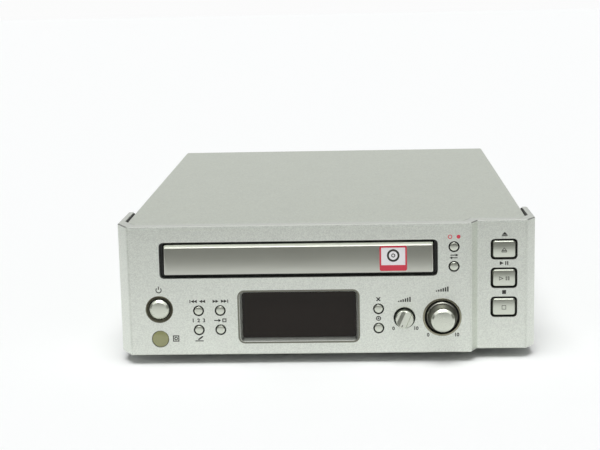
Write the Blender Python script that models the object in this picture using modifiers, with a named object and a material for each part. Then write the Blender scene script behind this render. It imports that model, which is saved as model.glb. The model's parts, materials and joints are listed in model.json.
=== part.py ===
"""A compact disc recorder: a half-width hi-fi component that stands on four feet.

Modelled as an assembly. Build space has x to the right, y back from the main front
face and z up from the floor. One root empty carries it all to the part's own origin,
the centre of the floor area that the recorder covers.
"""

import math

import bmesh
import bpy
from mathutils import Matrix, Vector

MM = 0.001

# Clearances that all pieces share
GAP = 0.3 * MM
RUNNING_GAP = 0.5 * MM
OVERRUN = 4.0 * MM

# Case
FRONT_BESIDE_SLOT = 72.8 * MM
FASCIA_HEIGHT = 67.7 * MM
FASCIA_LIFT = 5.0 * MM
FASCIA_WALL = 2.9 * MM
FASCIA_LIP_DEPTH = 5.5 * MM
FASCIA_LIP_THICK = 2.0 * MM
FASCIA_EDGE = 0.45 * MM
WING_REACH = 43.0 * MM
WING_TAPER = 0.5 * MM
LEFT_CORNER_RUN = 6.0 * MM
LEFT_CORNER_DEPTH = 10.4 * MM
RIGHT_CORNER_RUN = 4.7 * MM
RIGHT_CORNER_DEPTH = 6.9 * MM
KEY_BAY_WIDTH = 33.6 * MM
KEY_BAY_DEPTH = 6.5 * MM
KEY_BAY_SLOPE = 3.6 * MM
WING_GAP = 1.4 * MM
SHEET = 1.0 * MM
REAR_ROOM = 84.5 * MM
COVER_FOLD = 1.4 * MM
REAR_INSET = 1.8 * MM
FLANGE_HEIGHT = 8.0 * MM
CHASSIS_LIFT = 5.6 * MM
FOOT_RADIUS = 9.0 * MM
FOOT_TAPER = 1.2 * MM
FOOT_WIDTH_SHARE = 0.78
FOOT_FRONT_SHARE = 0.14
FOOT_REAR_SHARE = 0.88
SUBPANEL_THICK = 2.0 * MM
SUBPANEL_MARGIN = 0.5 * MM

# Tray door, its slot and the tray
SLOT_CENTRE_SHARE = -0.1312
SLOT_SIDE = 2.25 * MM
SLOT_HEIGHT = 18.85 * MM
SLOT_CORNER = 2.3 * MM
SLOT_BOTTOM_SHARE = 0.597
DOOR_OVERHANG = 3.85 * MM
DOOR_HEIGHT = 15.3 * MM
DOOR_LIFT = 2.0 * MM
DOOR_FRONT = 0.2 * MM
DOOR_THICK = 4.5 * MM
DOOR_CHAMFER = 1.0 * MM
TRAY_OPENING_MARGIN = 0.6 * MM
TRAY_SIDE = 4.5 * MM
TRAY_BEHIND = 42.5 * MM
TRAY_THICK = 6.5 * MM
TRAY_RAISE = 3.6 * MM
TRAY_RIM = 6.5 * MM
DISC_WELL_RADIUS = 60.5 * MM
DISC_WELL_DEPTH = 3.5 * MM
SMALL_WELL_RADIUS = 40.5 * MM
SMALL_WELL_DEPTH = 1.2 * MM
PICKUP_SLOT_RADIUS = 19.5 * MM

# Rack and tray gears, as a metric module and tooth counts
RACK_MODULE = 1.5 * MM
RACK_HEIGHT = 3.8 * MM
RACK_BACK = 1.6 * MM
RACK_INSET = 3.4 * MM
RACK_START = 10.0 * MM
TRAY_PINION_TEETH = 12
WHEEL_MODULE = 1.0 * MM
TRAY_WHEEL_TEETH = 24
PULLEY_PINION_TEETH = 8
TOOTH_RISE_SHARE = 0.55
TOOTH_DROP_SHARE = 0.85
TOOTH_ROOT_SHARE = 0.30
TOOTH_TIP_SHARE = 0.14
GEAR_FACE = 3.6 * MM
GEAR_PIN_RADIUS = 1.8 * MM
TRAY_GEAR_BACK = 14.5 * MM
PULLEY_RADIUS = 11.0 * MM
PULLEY_FACE = 3.4 * MM
MOTOR_PULLEY_RADIUS = 3.2 * MM
BELT_SPAN = 25.0 * MM
BELT_THICK = 1.3 * MM
BELT_GROOVE = 1.5 * MM
LOADING_MOTOR_RADIUS = 10.0 * MM
LOADING_MOTOR_LENGTH = 15.0 * MM
SHAFT_RADIUS = 1.2 * MM
SHAFT_DEPTH = 5.0 * MM

# Loader frame
FRAME_WALL = 2.5 * MM
FRAME_START = 23.5 * MM
FRAME_BEHIND = 15.5 * MM
FRAME_RISE = 4.5 * MM
LEDGE_WIDTH = 3.0 * MM
LEDGE_THICK = 2.4 * MM
TAB_WIDTH = 3.0 * MM
TAB_LENGTH = 10.0 * MM
TAB_THICK = 1.5 * MM
TAB_PLACE_SHARES = (0.03, 0.26)
DECK_THICK = 2.0 * MM
DECK_WIDTH = 29.0 * MM
DECK_LENGTH = 72.0 * MM
SHELF_THICK = 2.4 * MM
SHELF_LIP = 2.0 * MM
HINGE_BLOCK = 8.0 * MM
BRIDGE_DEPTH = 28.0 * MM
BRIDGE_THICK = 2.0 * MM
BRIDGE_HOLE = 9.0 * MM
CLAMPER_RADIUS = 13.5 * MM
CLAMPER_THICK = 2.3 * MM
CLAMPER_NECK = 7.6 * MM
CLAMPER_CAP_RADIUS = 10.5 * MM
CLAMPER_CAP_THICK = 1.6 * MM

# Traverse: it hinges at the rear and carries the spindle and the pickup
HINGE_ROOM = 1.0 * MM
HINGE_DROP = 17.0 * MM
HINGE_PIN_RADIUS = 2.0 * MM
HINGE_PIN_LENGTH = 5.0 * MM
TRAVERSE_TILT = 5.5
TRAVERSE_THICK = 2.0 * MM
TRAVERSE_RAISE = 3.0 * MM
TRAVERSE_LEFT = 33.0 * MM
TRAVERSE_RIGHT = 37.0 * MM
TRAVERSE_AHEAD = 4.5 * MM
TRAVERSE_REAR = 6.0 * MM
DISC_LIFT = 1.5 * MM
TURNTABLE_RADIUS = 13.5 * MM
TURNTABLE_THICK = 2.6 * MM
HUB_RADIUS = 7.3 * MM
HUB_HEIGHT = 1.6 * MM
HUB_TAPER = 1.2 * MM
SPINDLE_MOTOR_RADIUS = 12.5 * MM
SPINDLE_MOTOR_HEIGHT = 11.0 * MM
SLED_TRAVEL = 35.0 * MM
SLED_INNER = 23.0 * MM
SLED_LEFT = 29.0 * MM
SLED_RIGHT = 17.0 * MM
SLED_AHEAD = 8.5 * MM
SLED_BEHIND = 15.5 * MM
SLED_BASE = 6.5 * MM
SLED_THICK = 8.5 * MM
LENS_RADIUS = 3.8 * MM
LENS_CROWN = 1.1 * MM
LENS_HOLDER_RADIUS = 6.0 * MM
LENS_HOLDER_THICK = 2.2 * MM
LENS_FOCUS = 0.4 * MM
ROD_RADIUS = 1.5 * MM
ROD_RAISE = 10.0 * MM
LEFT_ROD_X = 25.0 * MM
RIGHT_ROD_X = 13.0 * MM
ROD_POST = 5.0 * MM
ROD_POST_THICK = 3.0 * MM
FEED_MODULE = 1.0 * MM
FEED_TEETH = 16
FEED_RACK_END = 6.5 * MM
FEED_RACK_THICK = 3.0 * MM
FEED_RACK_START = 6.0 * MM
FEED_MOTOR_RADIUS = 8.0 * MM
FEED_MOTOR_LENGTH = 11.0 * MM
SLIDER_TRAVEL = 14.0 * MM
SLIDER_WIDTH = 48.0 * MM
SLIDER_HEIGHT = 21.0 * MM
SLIDER_THICK = 2.5 * MM
LIFT_PIN_RADIUS = 1.5 * MM
LIFT_PIN_LENGTH = 6.2 * MM
LIFT_SLOT_RADIUS = 2.2 * MM

# Display
DISPLAY_X_SHARE = -0.1312
DISPLAY_Z_SHARE = 0.2955
DISPLAY_WIDTH = 61.8 * MM
DISPLAY_HEIGHT = 27.2 * MM
DISPLAY_CORNER = 3.0 * MM
BEZEL_DEPTH = 5.6 * MM
BEZEL_LAND = 0.4 * MM
BEZEL_DRAFT = 1.4 * MM
WINDOW_RECESS = 3.0 * MM
WINDOW_THICK = 1.6 * MM
WINDOW_OVERLAP = 0.6 * MM
TUBE_THICK = 7.2 * MM
TUBE_MARGIN = 2.0 * MM

# Controls: radius of each cap and of the hole round it, and their places as shares
# of half the front's width and of its height
STANDBY_RADIUS = 5.2 * MM
STANDBY_HOLE = 7.0 * MM
STANDBY_PROUD = 1.2 * MM
STANDBY_PLACE_SHARE = (-0.800, 0.359)
SENSOR_RADIUS = 4.2 * MM
SENSOR_PLACE_SHARE = (-0.800, 0.127)
SMALL_CAP_RADIUS = 2.15 * MM
SMALL_HOLE = 2.85 * MM
SMALL_PROUD = 0.3 * MM
SMALL_DISH = 0.5 * MM
CAP_EDGE = 0.2 * MM
DISH_MIDDLE_SHARE = 0.6
DISH_FALL_SHARE = 0.7
UPPER_ROW_SHARE = 0.3456
LOWER_ROW_SHARE = 0.1957
SMALL_BUTTON_PLACE_SHARES = {
    "track_back_button": (-0.612, UPPER_ROW_SHARE),
    "track_next_button": (-0.508, UPPER_ROW_SHARE),
    "write_button": (-0.612, LOWER_ROW_SHARE),
    "input_button": (-0.508, LOWER_ROW_SHARE),
    "erase_button": (0.248, UPPER_ROW_SHARE),
    "finalize_button": (0.248, LOWER_ROW_SHARE),
    "record_button": (0.606, 0.8176),
    "sync_button": (0.606, 0.6669),
}
KEY_PLACE_SHARES = {
    "open_close_button": (0.8470, 0.774),
    "play_pause_button": (0.8470, 0.5525),
    "stop_button": (0.8470, 0.3272),
}
KEY_WIDTH = 11.8 * MM
KEY_HEIGHT = 8.9 * MM
KEY_RING = 0.95 * MM
KEY_CORNER = 2.0 * MM
KEY_PROUD = 0.6 * MM
KEY_THICK = 2.8 * MM
KEY_CHAMFER = 0.7 * MM
STEM_RADIUS = 1.3 * MM
BUTTON_TRAVEL = 0.5 * MM
ANALOG_PLACE_SHARE = (0.3707, 0.2735)
ANALOG_HOLE = 5.6 * MM
ANALOG_RADIUS = 4.6 * MM
ANALOG_PROUD = 4.0 * MM
POINTER_WIDTH = 1.5 * MM
POINTER_RISE = 1.0 * MM
POINTER_TURN = 24.0
DIGITAL_PLACE_SHARE = (0.5498, 0.2755)
DIGITAL_HOLE = 9.8 * MM
DIGITAL_FLARE = 8.0 * MM
DIGITAL_RADIUS = 6.4 * MM
DIGITAL_PROUD = 8.5 * MM
DIGITAL_CHAMFER = 0.7 * MM
KNOB_EDGE = 0.4 * MM
KNOB_SHAFT_RADIUS = 3.0 * MM
KNOB_SHAFT_INSIDE = 4.0 * MM
CONTROL_BODY_RADIUS = 7.0 * MM
CONTROL_BODY_THICK = 6.0 * MM
DISH_DEPTH = 2.4 * MM
RING_DEPTH = 2.2 * MM

# Boards and switches
BOARD_THICK = 1.6 * MM
BOARD_SPACE = 12.8 * MM
KEY_BOARD_SPACE = 9.0 * MM
BOARD_MARGIN = 2.5 * MM
FRONT_BOARD_RIGHT_SHARE = 0.635
KEY_BOARD_LEFT_SHARE = 0.70
KEY_BOARD_UPPER_SHARE = 0.56
SWITCH_SIZE = 6.0 * MM
SWITCH_THICK = 3.5 * MM
SWITCH_PLUNGER_RADIUS = 1.7 * MM
SWITCH_PLUNGER = 0.9 * MM
BOSS_RADIUS = 1.8 * MM
BOSS_OUTER_SHARE = 0.895
BOSS_INNER_SHARE = 0.605
FRONT_BOSS_Z_SHARES = (0.12, 0.53)
KEY_BOSS_X_SHARES = (0.735, 0.905)
KEY_BOSS_Z_SHARES = (0.13, 0.90)
STANDOFF_RADIUS = 3.0 * MM
STANDOFF_HEIGHT = 5.0 * MM
MAIN_BOARD_GAP = 6.0 * MM
MAIN_BOARD_REAR = 6.0 * MM
MAIN_BOARD_LEFT_SHARE = 0.92
MAIN_BOARD_RIGHT_SHARE = 0.60
CAPACITOR_RADIUS = 6.0 * MM
CAPACITOR_HEIGHT = 20.0 * MM
CAPACITOR_PLACE_SHARES = ((0.60, 0.30), (0.72, 0.30), (0.84, 0.30))
CHIP_SIZE = 14.0 * MM
CHIP_THICK = 2.2 * MM
CHIP_PLACE_SHARES = ((0.12, 0.32), (0.34, 0.32))
HEATSINK_WIDTH = 34.0 * MM
HEATSINK_THICK = 9.0 * MM
HEATSINK_HEIGHT = 24.0 * MM
HEATSINK_PLACE_SHARE = (0.72, 0.62)
CORE_SIZE = (26.0 * MM, 44.0 * MM, 34.0 * MM)
COIL_LENGTH = 30.0 * MM
COIL_HEIGHT = 26.0 * MM
COIL_RAISE = 4.0 * MM
TRANSFORMER_INSET = 9.0 * MM
TRANSFORMER_BACK = 70.0 * MM

# Rear connectors
JACK_BARREL = 4.2 * MM
JACK_BORE = 1.6 * MM
JACK_BORE_DEPTH = 7.0 * MM
JACK_REACH = 9.3 * MM
JACK_PITCH = 14.0 * MM
JACK_BLOCK_MARGIN = 8.0 * MM
JACK_BLOCK_DEPTH = 12.0 * MM
JACK_PLACE_SHARE = -0.66
OPTICAL_SIZE = 12.0 * MM
OPTICAL_RECESS = 7.0 * MM
OPTICAL_RECESS_DEPTH = 3.5 * MM
OPTICAL_PITCH = 17.0 * MM
OPTICAL_PLACE_SHARE = -0.24
INLET_WIDTH = 21.0 * MM
INLET_HEIGHT = 13.0 * MM
INLET_DEPTH = 15.0 * MM
INLET_FLANGE = 3.0 * MM
INLET_FLANGE_THICK = 1.5 * MM
INLET_SOCKET_WIDTH = 15.0 * MM
INLET_SOCKET_HEIGHT = 8.0 * MM
INLET_SOCKET_DEPTH = 11.0 * MM
INLET_PIN_RADIUS = 1.2 * MM
INLET_PIN_PITCH = 8.6 * MM
INLET_PLACE_SHARE = 0.74
INLET_RAISE = 16.0 * MM
SCREW_HEAD_RADIUS = 3.0 * MM
SCREW_HEAD = 1.6 * MM
SCREW_RADIUS = 1.5 * MM
SCREW_LENGTH = 4.0 * MM
SCREW_FRONT_SHARE = 0.24
SCREW_REAR_SHARE = 0.88

# Facets round a circle
FINE_STEPS = 32
ROUND_STEPS = 24
SMALL_STEPS = 16
HIDDEN_STEPS = 12
PLUNGER_STEPS = 8
CORNER_STEPS = 4
FLARE_STEPS = 5

# Sizes and places worked out from the sizes above, starting from the disc's well
TRAY_WIDTH = 2 * (DISC_WELL_RADIUS + TRAY_SIDE)
TRAY_LENGTH = TRAY_RIM + 2 * DISC_WELL_RADIUS + TRAY_BEHIND
TRAY_FRONT = DOOR_FRONT + DOOR_THICK + GAP
DOOR_WIDTH = TRAY_WIDTH + 2 * DOOR_OVERHANG
SLOT_WIDTH = DOOR_WIDTH + 2 * SLOT_SIDE
FRAME_REAR = TRAY_FRONT + TRAY_LENGTH + FRAME_BEHIND
FRAME_LENGTH = FRAME_REAR - FRAME_START
FASCIA_WIDTH = SLOT_WIDTH + FRONT_BESIDE_SLOT
COVER_DEPTH = FRAME_REAR + REAR_ROOM
HALF_WIDTH = FASCIA_WIDTH / 2
FASCIA_TOP = FASCIA_LIFT + FASCIA_HEIGHT
COVER_HALF = HALF_WIDTH - FASCIA_WALL - WING_GAP
COVER_INSIDE = COVER_HALF - SHEET
CHASSIS_HALF = COVER_INSIDE - GAP
CHASSIS_TOP = CHASSIS_LIFT + SHEET
FLOOR_SEAT = CHASSIS_TOP + GAP
REAR_OUTSIDE = COVER_DEPTH - REAR_INSET
REAR_INSIDE = REAR_OUTSIDE - SHEET
CHASSIS_REAR = REAR_INSIDE - GAP
FLANGE_TOP = CHASSIS_LIFT + FLANGE_HEIGHT
SUBPANEL_FRONT = FASCIA_WALL + GAP
SUBPANEL_REAR = SUBPANEL_FRONT + SUBPANEL_THICK
KEY_SUBPANEL_FRONT = KEY_BAY_DEPTH + SUBPANEL_FRONT
KEY_SUBPANEL_REAR = KEY_SUBPANEL_FRONT + SUBPANEL_THICK
FRONT_BOARD_Y = SUBPANEL_REAR + BOARD_SPACE
KEY_BOARD_Y = KEY_SUBPANEL_REAR + KEY_BOARD_SPACE
MECH_X = SLOT_CENTRE_SHARE * HALF_WIDTH
SLOT_BOTTOM = FASCIA_LIFT + SLOT_BOTTOM_SHARE * FASCIA_HEIGHT
DOOR_BOTTOM = SLOT_BOTTOM + DOOR_LIFT
TRAY_BOTTOM = DOOR_BOTTOM + TRAY_RAISE
TRAY_TOP = TRAY_BOTTOM + TRAY_THICK
WELL_FLOOR = TRAY_TOP - DISC_WELL_DEPTH
DISC_Y = TRAY_FRONT + TRAY_RIM + DISC_WELL_RADIUS
FRAME_INSIDE = TRAY_WIDTH / 2 + RUNNING_GAP
FRAME_OUTSIDE = FRAME_INSIDE + FRAME_WALL
FRAME_TOP = TRAY_TOP + FRAME_RISE
BRIDGE_BOTTOM = FRAME_TOP + GAP
SLED_REACH = SLED_BEHIND + SLED_TRAVEL + RUNNING_GAP + ROD_POST_THICK
HINGE_BACK = SLED_INNER + SLED_REACH + HINGE_ROOM
TRAVERSE_FRONT = HINGE_BACK + SPINDLE_MOTOR_RADIUS + TRAVERSE_AHEAD
FEED_GEAR_BACK = SLED_TRAVEL + FEED_RACK_START
FEED_RACK_LENGTH = FEED_GEAR_BACK + FEED_RACK_END
HINGE_Y = DISC_Y + HINGE_BACK
HINGE_Z = TRAY_BOTTOM - HINGE_DROP
SEAT_RISE = WELL_FLOOR + DISC_LIFT - HINGE_Z
RACK_BOTTOM = TRAY_BOTTOM - RACK_HEIGHT
RACK_PITCH_X = MECH_X - TRAY_WIDTH / 2 + RACK_INSET + RACK_BACK + RACK_MODULE * TOOTH_DROP_SHARE
TRAY_GEAR_X = RACK_PITCH_X + RACK_MODULE * TRAY_PINION_TEETH / 2
TRAY_GEAR_Y = FRAME_START + FRAME_WALL + TRAY_GEAR_BACK
PULLEY_GEAR_Y = TRAY_GEAR_Y + WHEEL_MODULE * (TRAY_WHEEL_TEETH + PULLEY_PINION_TEETH) / 2
MOTOR_PULLEY_Y = PULLEY_GEAR_Y + BELT_SPAN
WHEEL_TOP = RACK_BOTTOM - RUNNING_GAP
WHEEL_BOTTOM = WHEEL_TOP - GEAR_FACE
PULLEY_TOP = WHEEL_BOTTOM - RUNNING_GAP
PULLEY_BOTTOM = PULLEY_TOP - PULLEY_FACE
DECK_TOP = PULLEY_BOTTOM - RUNNING_GAP
DECK_BOTTOM = DECK_TOP - DECK_THICK
MAIN_BOARD_Z = CHASSIS_TOP + STANDOFF_HEIGHT + GAP
MAIN_BOARD_TOP = MAIN_BOARD_Z + BOARD_THICK
MAIN_BOARD_Y = (FRAME_REAR + MAIN_BOARD_GAP, CHASSIS_REAR - SHEET - MAIN_BOARD_REAR)
MAIN_BOARD_X = (-MAIN_BOARD_LEFT_SHARE * COVER_INSIDE, MAIN_BOARD_RIGHT_SHARE * COVER_INSIDE)
CONNECTOR_SEAT = max(MAIN_BOARD_TOP, FLANGE_TOP) + GAP
REAR_REACH = REAR_OUTSIDE + JACK_REACH
FACE_Y = -(REAR_REACH - DIGITAL_PROUD) / 2


def clear_scene():
    for obj in list(bpy.data.objects):
        bpy.data.objects.remove(obj, do_unlink=True)


def new_collection(name):
    collection = bpy.data.collections.new(name)
    bpy.context.scene.collection.children.link(collection)
    return collection


clear_scene()
PARTS = new_collection("cd_recorder")
CUTTERS = new_collection("cutters")


# Materials

def material(name, color, roughness, metallic=0.0, alpha=1.0):
    made = bpy.data.materials.get(name)
    if made is None:
        made = bpy.data.materials.new(name)
        made.use_nodes = True
        shader = made.node_tree.nodes["Principled BSDF"]
        shader.inputs["Base Color"].default_value = (*color, 1.0)
        shader.inputs["Roughness"].default_value = roughness
        shader.inputs["Metallic"].default_value = metallic
        shader.inputs["Alpha"].default_value = alpha
    return made


def satin_silver():
    return material("satin_silver", (0.62, 0.63, 0.58), 0.42, 0.9)


def cap_silver():
    return material("cap_silver", (0.60, 0.61, 0.57), 0.25, 1.0)


def cover_paint():
    return material("cover_paint", (0.50, 0.51, 0.47), 0.45, 0.6)


def black_plastic():
    return material("black_plastic", (0.02, 0.02, 0.02), 0.5)


def gloss_black():
    return material("gloss_black", (0.03, 0.03, 0.03), 0.12)


def smoked_acrylic():
    return material("smoked_acrylic", (0.03, 0.026, 0.024), 0.08)


def sensor_tint():
    return material("sensor_tint", (0.27, 0.28, 0.13), 0.2)


def zinc_steel():
    return material("zinc_steel", (0.55, 0.56, 0.56), 0.35, 1.0)


def dark_rubber():
    return material("dark_rubber", (0.03, 0.03, 0.03), 0.85)


def board_green():
    return material("board_green", (0.05, 0.16, 0.07), 0.5)


def white_nylon():
    return material("white_nylon", (0.75, 0.75, 0.70), 0.45)


def display_glass():
    return material("display_glass", (0.10, 0.12, 0.12), 0.1)


def lens_glass():
    return material("lens_glass", (0.25, 0.28, 0.45), 0.05)


def core_iron():
    return material("core_iron", (0.18, 0.17, 0.16), 0.6, 0.7)


def screw_steel():
    return material("screw_steel", (0.45, 0.46, 0.45), 0.3, 1.0)


# Building tools

def as_cutter(obj):
    """Moves a helper to the cutters' collection and hides it from renders."""
    for collection in list(obj.users_collection):
        collection.objects.unlink(obj)
    CUTTERS.objects.link(obj)
    obj.hide_render = True
    obj.display_type = "WIRE"
    return obj


def add_mesh_object(name, bm):
    mesh = bpy.data.meshes.new(name)
    bm.to_mesh(mesh)
    bm.free()
    obj = bpy.data.objects.new(name, mesh)
    PARTS.objects.link(obj)
    return obj


def box(name, low, high):
    """A box between two corners."""
    low = Vector(low)
    high = Vector(high)
    bm = bmesh.new()
    bmesh.ops.create_cube(bm, size=1.0)
    bmesh.ops.scale(bm, vec=high - low, verts=bm.verts)
    bmesh.ops.translate(bm, vec=(low + high) / 2, verts=bm.verts)
    return add_mesh_object(name, bm)


def centred_box(name, centre, size):
    centre = Vector(centre)
    half = Vector(size) / 2
    return box(name, centre - half, centre + half)


def cylinder(name, centre, radius, length, direction, steps=HIDDEN_STEPS):
    """A plain cylinder about a point, along a direction."""
    turn = Vector((0, 0, 1)).rotation_difference(Vector(direction)).to_matrix().to_4x4()
    bm = bmesh.new()
    bmesh.ops.create_cone(
        bm,
        cap_ends=True,
        segments=steps,
        radius1=radius,
        radius2=radius,
        depth=length,
        matrix=Matrix.Translation(centre) @ turn,
    )
    return add_mesh_object(name, bm)


def turned(name, profile, steps=ROUND_STEPS, closed=False):
    """A turned shape: (radius, height) points run down the outer side, screwed about z."""
    mesh = bpy.data.meshes.new(name)
    points = [(radius, 0.0, height) for radius, height in profile]
    edges = [(i, i + 1) for i in range(len(points) - 1)]
    if closed:
        edges.append((len(points) - 1, 0))
    mesh.from_pydata(points, edges, [])
    obj = bpy.data.objects.new(name, mesh)
    PARTS.objects.link(obj)
    screw = obj.modifiers.new("turn", "SCREW")
    screw.axis = "Z"
    screw.angle = math.tau
    screw.steps = steps
    screw.render_steps = steps
    screw.use_merge_vertices = True
    screw.merge_threshold = 0.01 * MM
    screw.use_smooth_shade = True
    return obj


def facing_front(obj):
    """Turns a shape made about z so that its top looks out of the front."""
    obj.rotation_euler = (math.pi / 2, 0, 0)
    return obj


def outline(name, loops, thickness):
    """A flat plate from an outer loop and its holes, centred on its thickness."""
    curve = bpy.data.curves.new(name, "CURVE")
    curve.dimensions = "2D"
    curve.fill_mode = "BOTH"
    curve.extrude = thickness / 2
    for points in loops:
        spline = curve.splines.new("POLY")
        spline.points.add(len(points) - 1)
        for point, (x, y) in zip(spline.points, points):
            point.co = (x, y, 0.0, 1.0)
        spline.use_cyclic_u = True
    guide = bpy.data.objects.new(name, curve)
    PARTS.objects.link(guide)
    evaluated = guide.evaluated_get(bpy.context.evaluated_depsgraph_get())
    mesh = bpy.data.meshes.new_from_object(evaluated)
    bpy.data.objects.remove(guide)
    bm = bmesh.new()
    bm.from_mesh(mesh)
    bmesh.ops.remove_doubles(bm, verts=bm.verts, dist=0.01 * MM)
    bmesh.ops.recalc_face_normals(bm, faces=bm.faces)
    bm.to_mesh(mesh)
    bm.free()
    obj = bpy.data.objects.new(name, mesh)
    PARTS.objects.link(obj)
    return obj


def front_plate(name, loops, front, thickness):
    """A plate that faces the front; its loops are drawn in x and z."""
    plate = outline(name, loops, thickness)
    plate.data.transform(Matrix.Rotation(math.pi / 2, 4, "X"))
    plate.data.transform(Matrix.Translation((0, front + thickness / 2, 0)))
    return plate


def flat_plate(name, loops, bottom, thickness):
    """A level plate; its loops are drawn in x and y."""
    plate = outline(name, loops, thickness)
    plate.data.transform(Matrix.Translation((0, 0, bottom + thickness / 2)))
    return plate


def rectangle(left, right, low, high):
    return [(left, low), (right, low), (right, high), (left, high)]


def arc(centre, radius, start, end, steps):
    """Points along an arc, angles in degrees."""
    points = []
    for i in range(steps + 1):
        angle = math.radians(start + (end - start) * i / steps)
        points.append((centre[0] + radius * math.cos(angle), centre[1] + radius * math.sin(angle)))
    return points


def circle(x, y, radius, steps=ROUND_STEPS):
    return arc((x, y), radius, 0, 360, steps)[:-1]


def rounded_rectangle(x, y, width, height, radius, steps=CORNER_STEPS):
    """A rectangle about a point with round corners."""
    across = width / 2 - radius
    up = height / 2 - radius
    points = []
    points += arc((x + across, y - up), radius, -90, 0, steps)
    points += arc((x + across, y + up), radius, 0, 90, steps)
    points += arc((x - across, y + up), radius, 90, 180, steps)
    points += arc((x - across, y - up), radius, 180, 270, steps)
    return points


def stadium(start, end, radius, steps=CORNER_STEPS * 2):
    """A slot's outline round two points."""
    heading = math.degrees(math.atan2(end[1] - start[1], end[0] - start[0]))
    points = arc(end, radius, heading - 90, heading + 90, steps)
    points += arc(start, radius, heading + 90, heading + 270, steps)
    return points


def boolean(target, operand, operation):
    change = target.modifiers.new(operation.lower(), "BOOLEAN")
    change.operation = operation
    change.object = as_cutter(operand)
    return target


def cut(target, *operands):
    for operand in operands:
        boolean(target, operand, "DIFFERENCE")
    return target


def add(target, *operands):
    for operand in operands:
        boolean(target, operand, "UNION")
    return target


def merge(name, pieces):
    """Joins separate solids that do not meet into one object."""
    bm = bmesh.new()
    depsgraph = bpy.context.evaluated_depsgraph_get()
    for piece in pieces:
        part = bmesh.new()
        part.from_object(piece, depsgraph)
        part.transform(piece.matrix_basis)
        scratch = bpy.data.meshes.new("scratch")
        part.to_mesh(scratch)
        part.free()
        bm.from_mesh(scratch)
        bpy.data.meshes.remove(scratch)
    drop(pieces)
    return add_mesh_object(name, bm)


def drop(pieces):
    """Removes source shapes and the cutters that only they used."""
    for piece in pieces:
        operands = [m.object for m in piece.modifiers if m.type == "BOOLEAN"]
        bpy.data.objects.remove(piece, do_unlink=True)
        drop(operands)


def bevel(obj, width, segments=1, angle=40.0):
    edge = obj.modifiers.new("edge", "BEVEL")
    edge.width = width
    edge.segments = segments
    edge.limit_method = "ANGLE"
    edge.angle_limit = math.radians(angle)
    return obj


def finish(obj, name, made_of, parent=None):
    """Names a piece, gives it its material and hangs it on its carrier."""
    obj.name = name
    obj.data.name = name
    obj.data.materials.clear()
    obj.data.materials.append(made_of)
    obj.parent = parent or ROOT
    return obj


def empty(name, location, parent=None):
    obj = bpy.data.objects.new(name, None)
    PARTS.objects.link(obj)
    obj.location = location
    obj.parent = parent
    return obj


def face_x(share):
    return share * HALF_WIDTH


def face_z(share):
    return FASCIA_LIFT + share * FASCIA_HEIGHT


def gear_outline(teeth, module, centre=(0, 0), turn=0.0):
    """A gear's outline with straight-sided teeth; one tooth lies at the turn angle."""
    pitch_radius = module * teeth / 2
    root = pitch_radius - module * TOOTH_DROP_SHARE
    tip = pitch_radius + module * TOOTH_RISE_SHARE
    step = math.tau / teeth
    points = []
    for tooth in range(teeth):
        middle = math.radians(turn) + tooth * step
        for radius, share in (
            (root, -TOOTH_ROOT_SHARE),
            (tip, -TOOTH_TIP_SHARE),
            (tip, TOOTH_TIP_SHARE),
            (root, TOOTH_ROOT_SHARE),
        ):
            angle = middle + share * step
            points.append((centre[0] + radius * math.cos(angle), centre[1] + radius * math.sin(angle)))
    return points


def rack_outline(module, back, pitch_x, start, length, mesh_y):
    """A rack's outline, its teeth facing +x and a space of it centred at mesh_y."""
    pitch = math.pi * module
    root = pitch_x - module * TOOTH_DROP_SHARE
    tip = pitch_x + module * TOOTH_RISE_SHARE
    first = math.ceil((start + pitch / 2 - mesh_y) / pitch - 0.5)
    last = math.floor((start + length - pitch / 2 - mesh_y) / pitch - 0.5)
    points = [(root - back, start + length), (root - back, start), (root, start)]
    for tooth in range(first, last + 1):
        middle = mesh_y + (tooth + 0.5) * pitch
        points.append((root, middle - TOOTH_ROOT_SHARE * pitch))
        points.append((tip, middle - TOOTH_TIP_SHARE * pitch))
        points.append((tip, middle + TOOTH_TIP_SHARE * pitch))
        points.append((root, middle + TOOTH_ROOT_SHARE * pitch))
    points.append((root, start + length))
    return points


ROOT = empty("cd_recorder_root", (0, FACE_Y, 0))


# Front panel

def front_path():
    """The front's outer edge seen from above, from the left wing's rear to the right's."""
    left = -HALF_WIDTH
    right = HALF_WIDTH
    step = right - KEY_BAY_WIDTH
    return [
        (left + WING_TAPER, WING_REACH),
        (left, LEFT_CORNER_DEPTH),
        (left + LEFT_CORNER_RUN, 0),
        (step, 0),
        (step + KEY_BAY_SLOPE, KEY_BAY_DEPTH),
        (right - RIGHT_CORNER_RUN, KEY_BAY_DEPTH),
        (right, KEY_BAY_DEPTH + RIGHT_CORNER_DEPTH),
        (right - WING_TAPER, WING_REACH),
    ]


def offset_path(path, distances):
    """Shifts each side of a path inwards and meets the shifted sides at new corners."""
    lines = []
    for (start, end), distance in zip(zip(path, path[1:]), distances):
        along = (Vector(end) - Vector(start)).normalized()
        inward = Vector((-along.y, along.x)) * distance
        lines.append((Vector(start) + inward, along))
    points = [lines[0][0]]
    for (point, along), (other, way) in zip(lines, lines[1:]):
        cross = along.x * way.y - along.y * way.x
        reach = ((other.x - point.x) * way.y - (other.y - point.y) * way.x) / cross
        points.append(point + along * reach)
    last_point, last_way = lines[-1]
    end = Vector(path[-1])
    points.append(last_point + last_way * (end - last_point).dot(last_way))
    return [tuple(point) for point in points]


def inner_path(front_depth, wing_depth):
    path = front_path()
    sides = len(path) - 1
    distances = [wing_depth] + [front_depth] * (sides - 2) + [wing_depth]
    return offset_path(path, distances)


def open_to_rear(path):
    """Closes a path behind the wings, as the outline of a cavity."""
    rear = WING_REACH + OVERRUN
    return path + [(path[-1][0], rear), (path[0][0], rear)]


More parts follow.
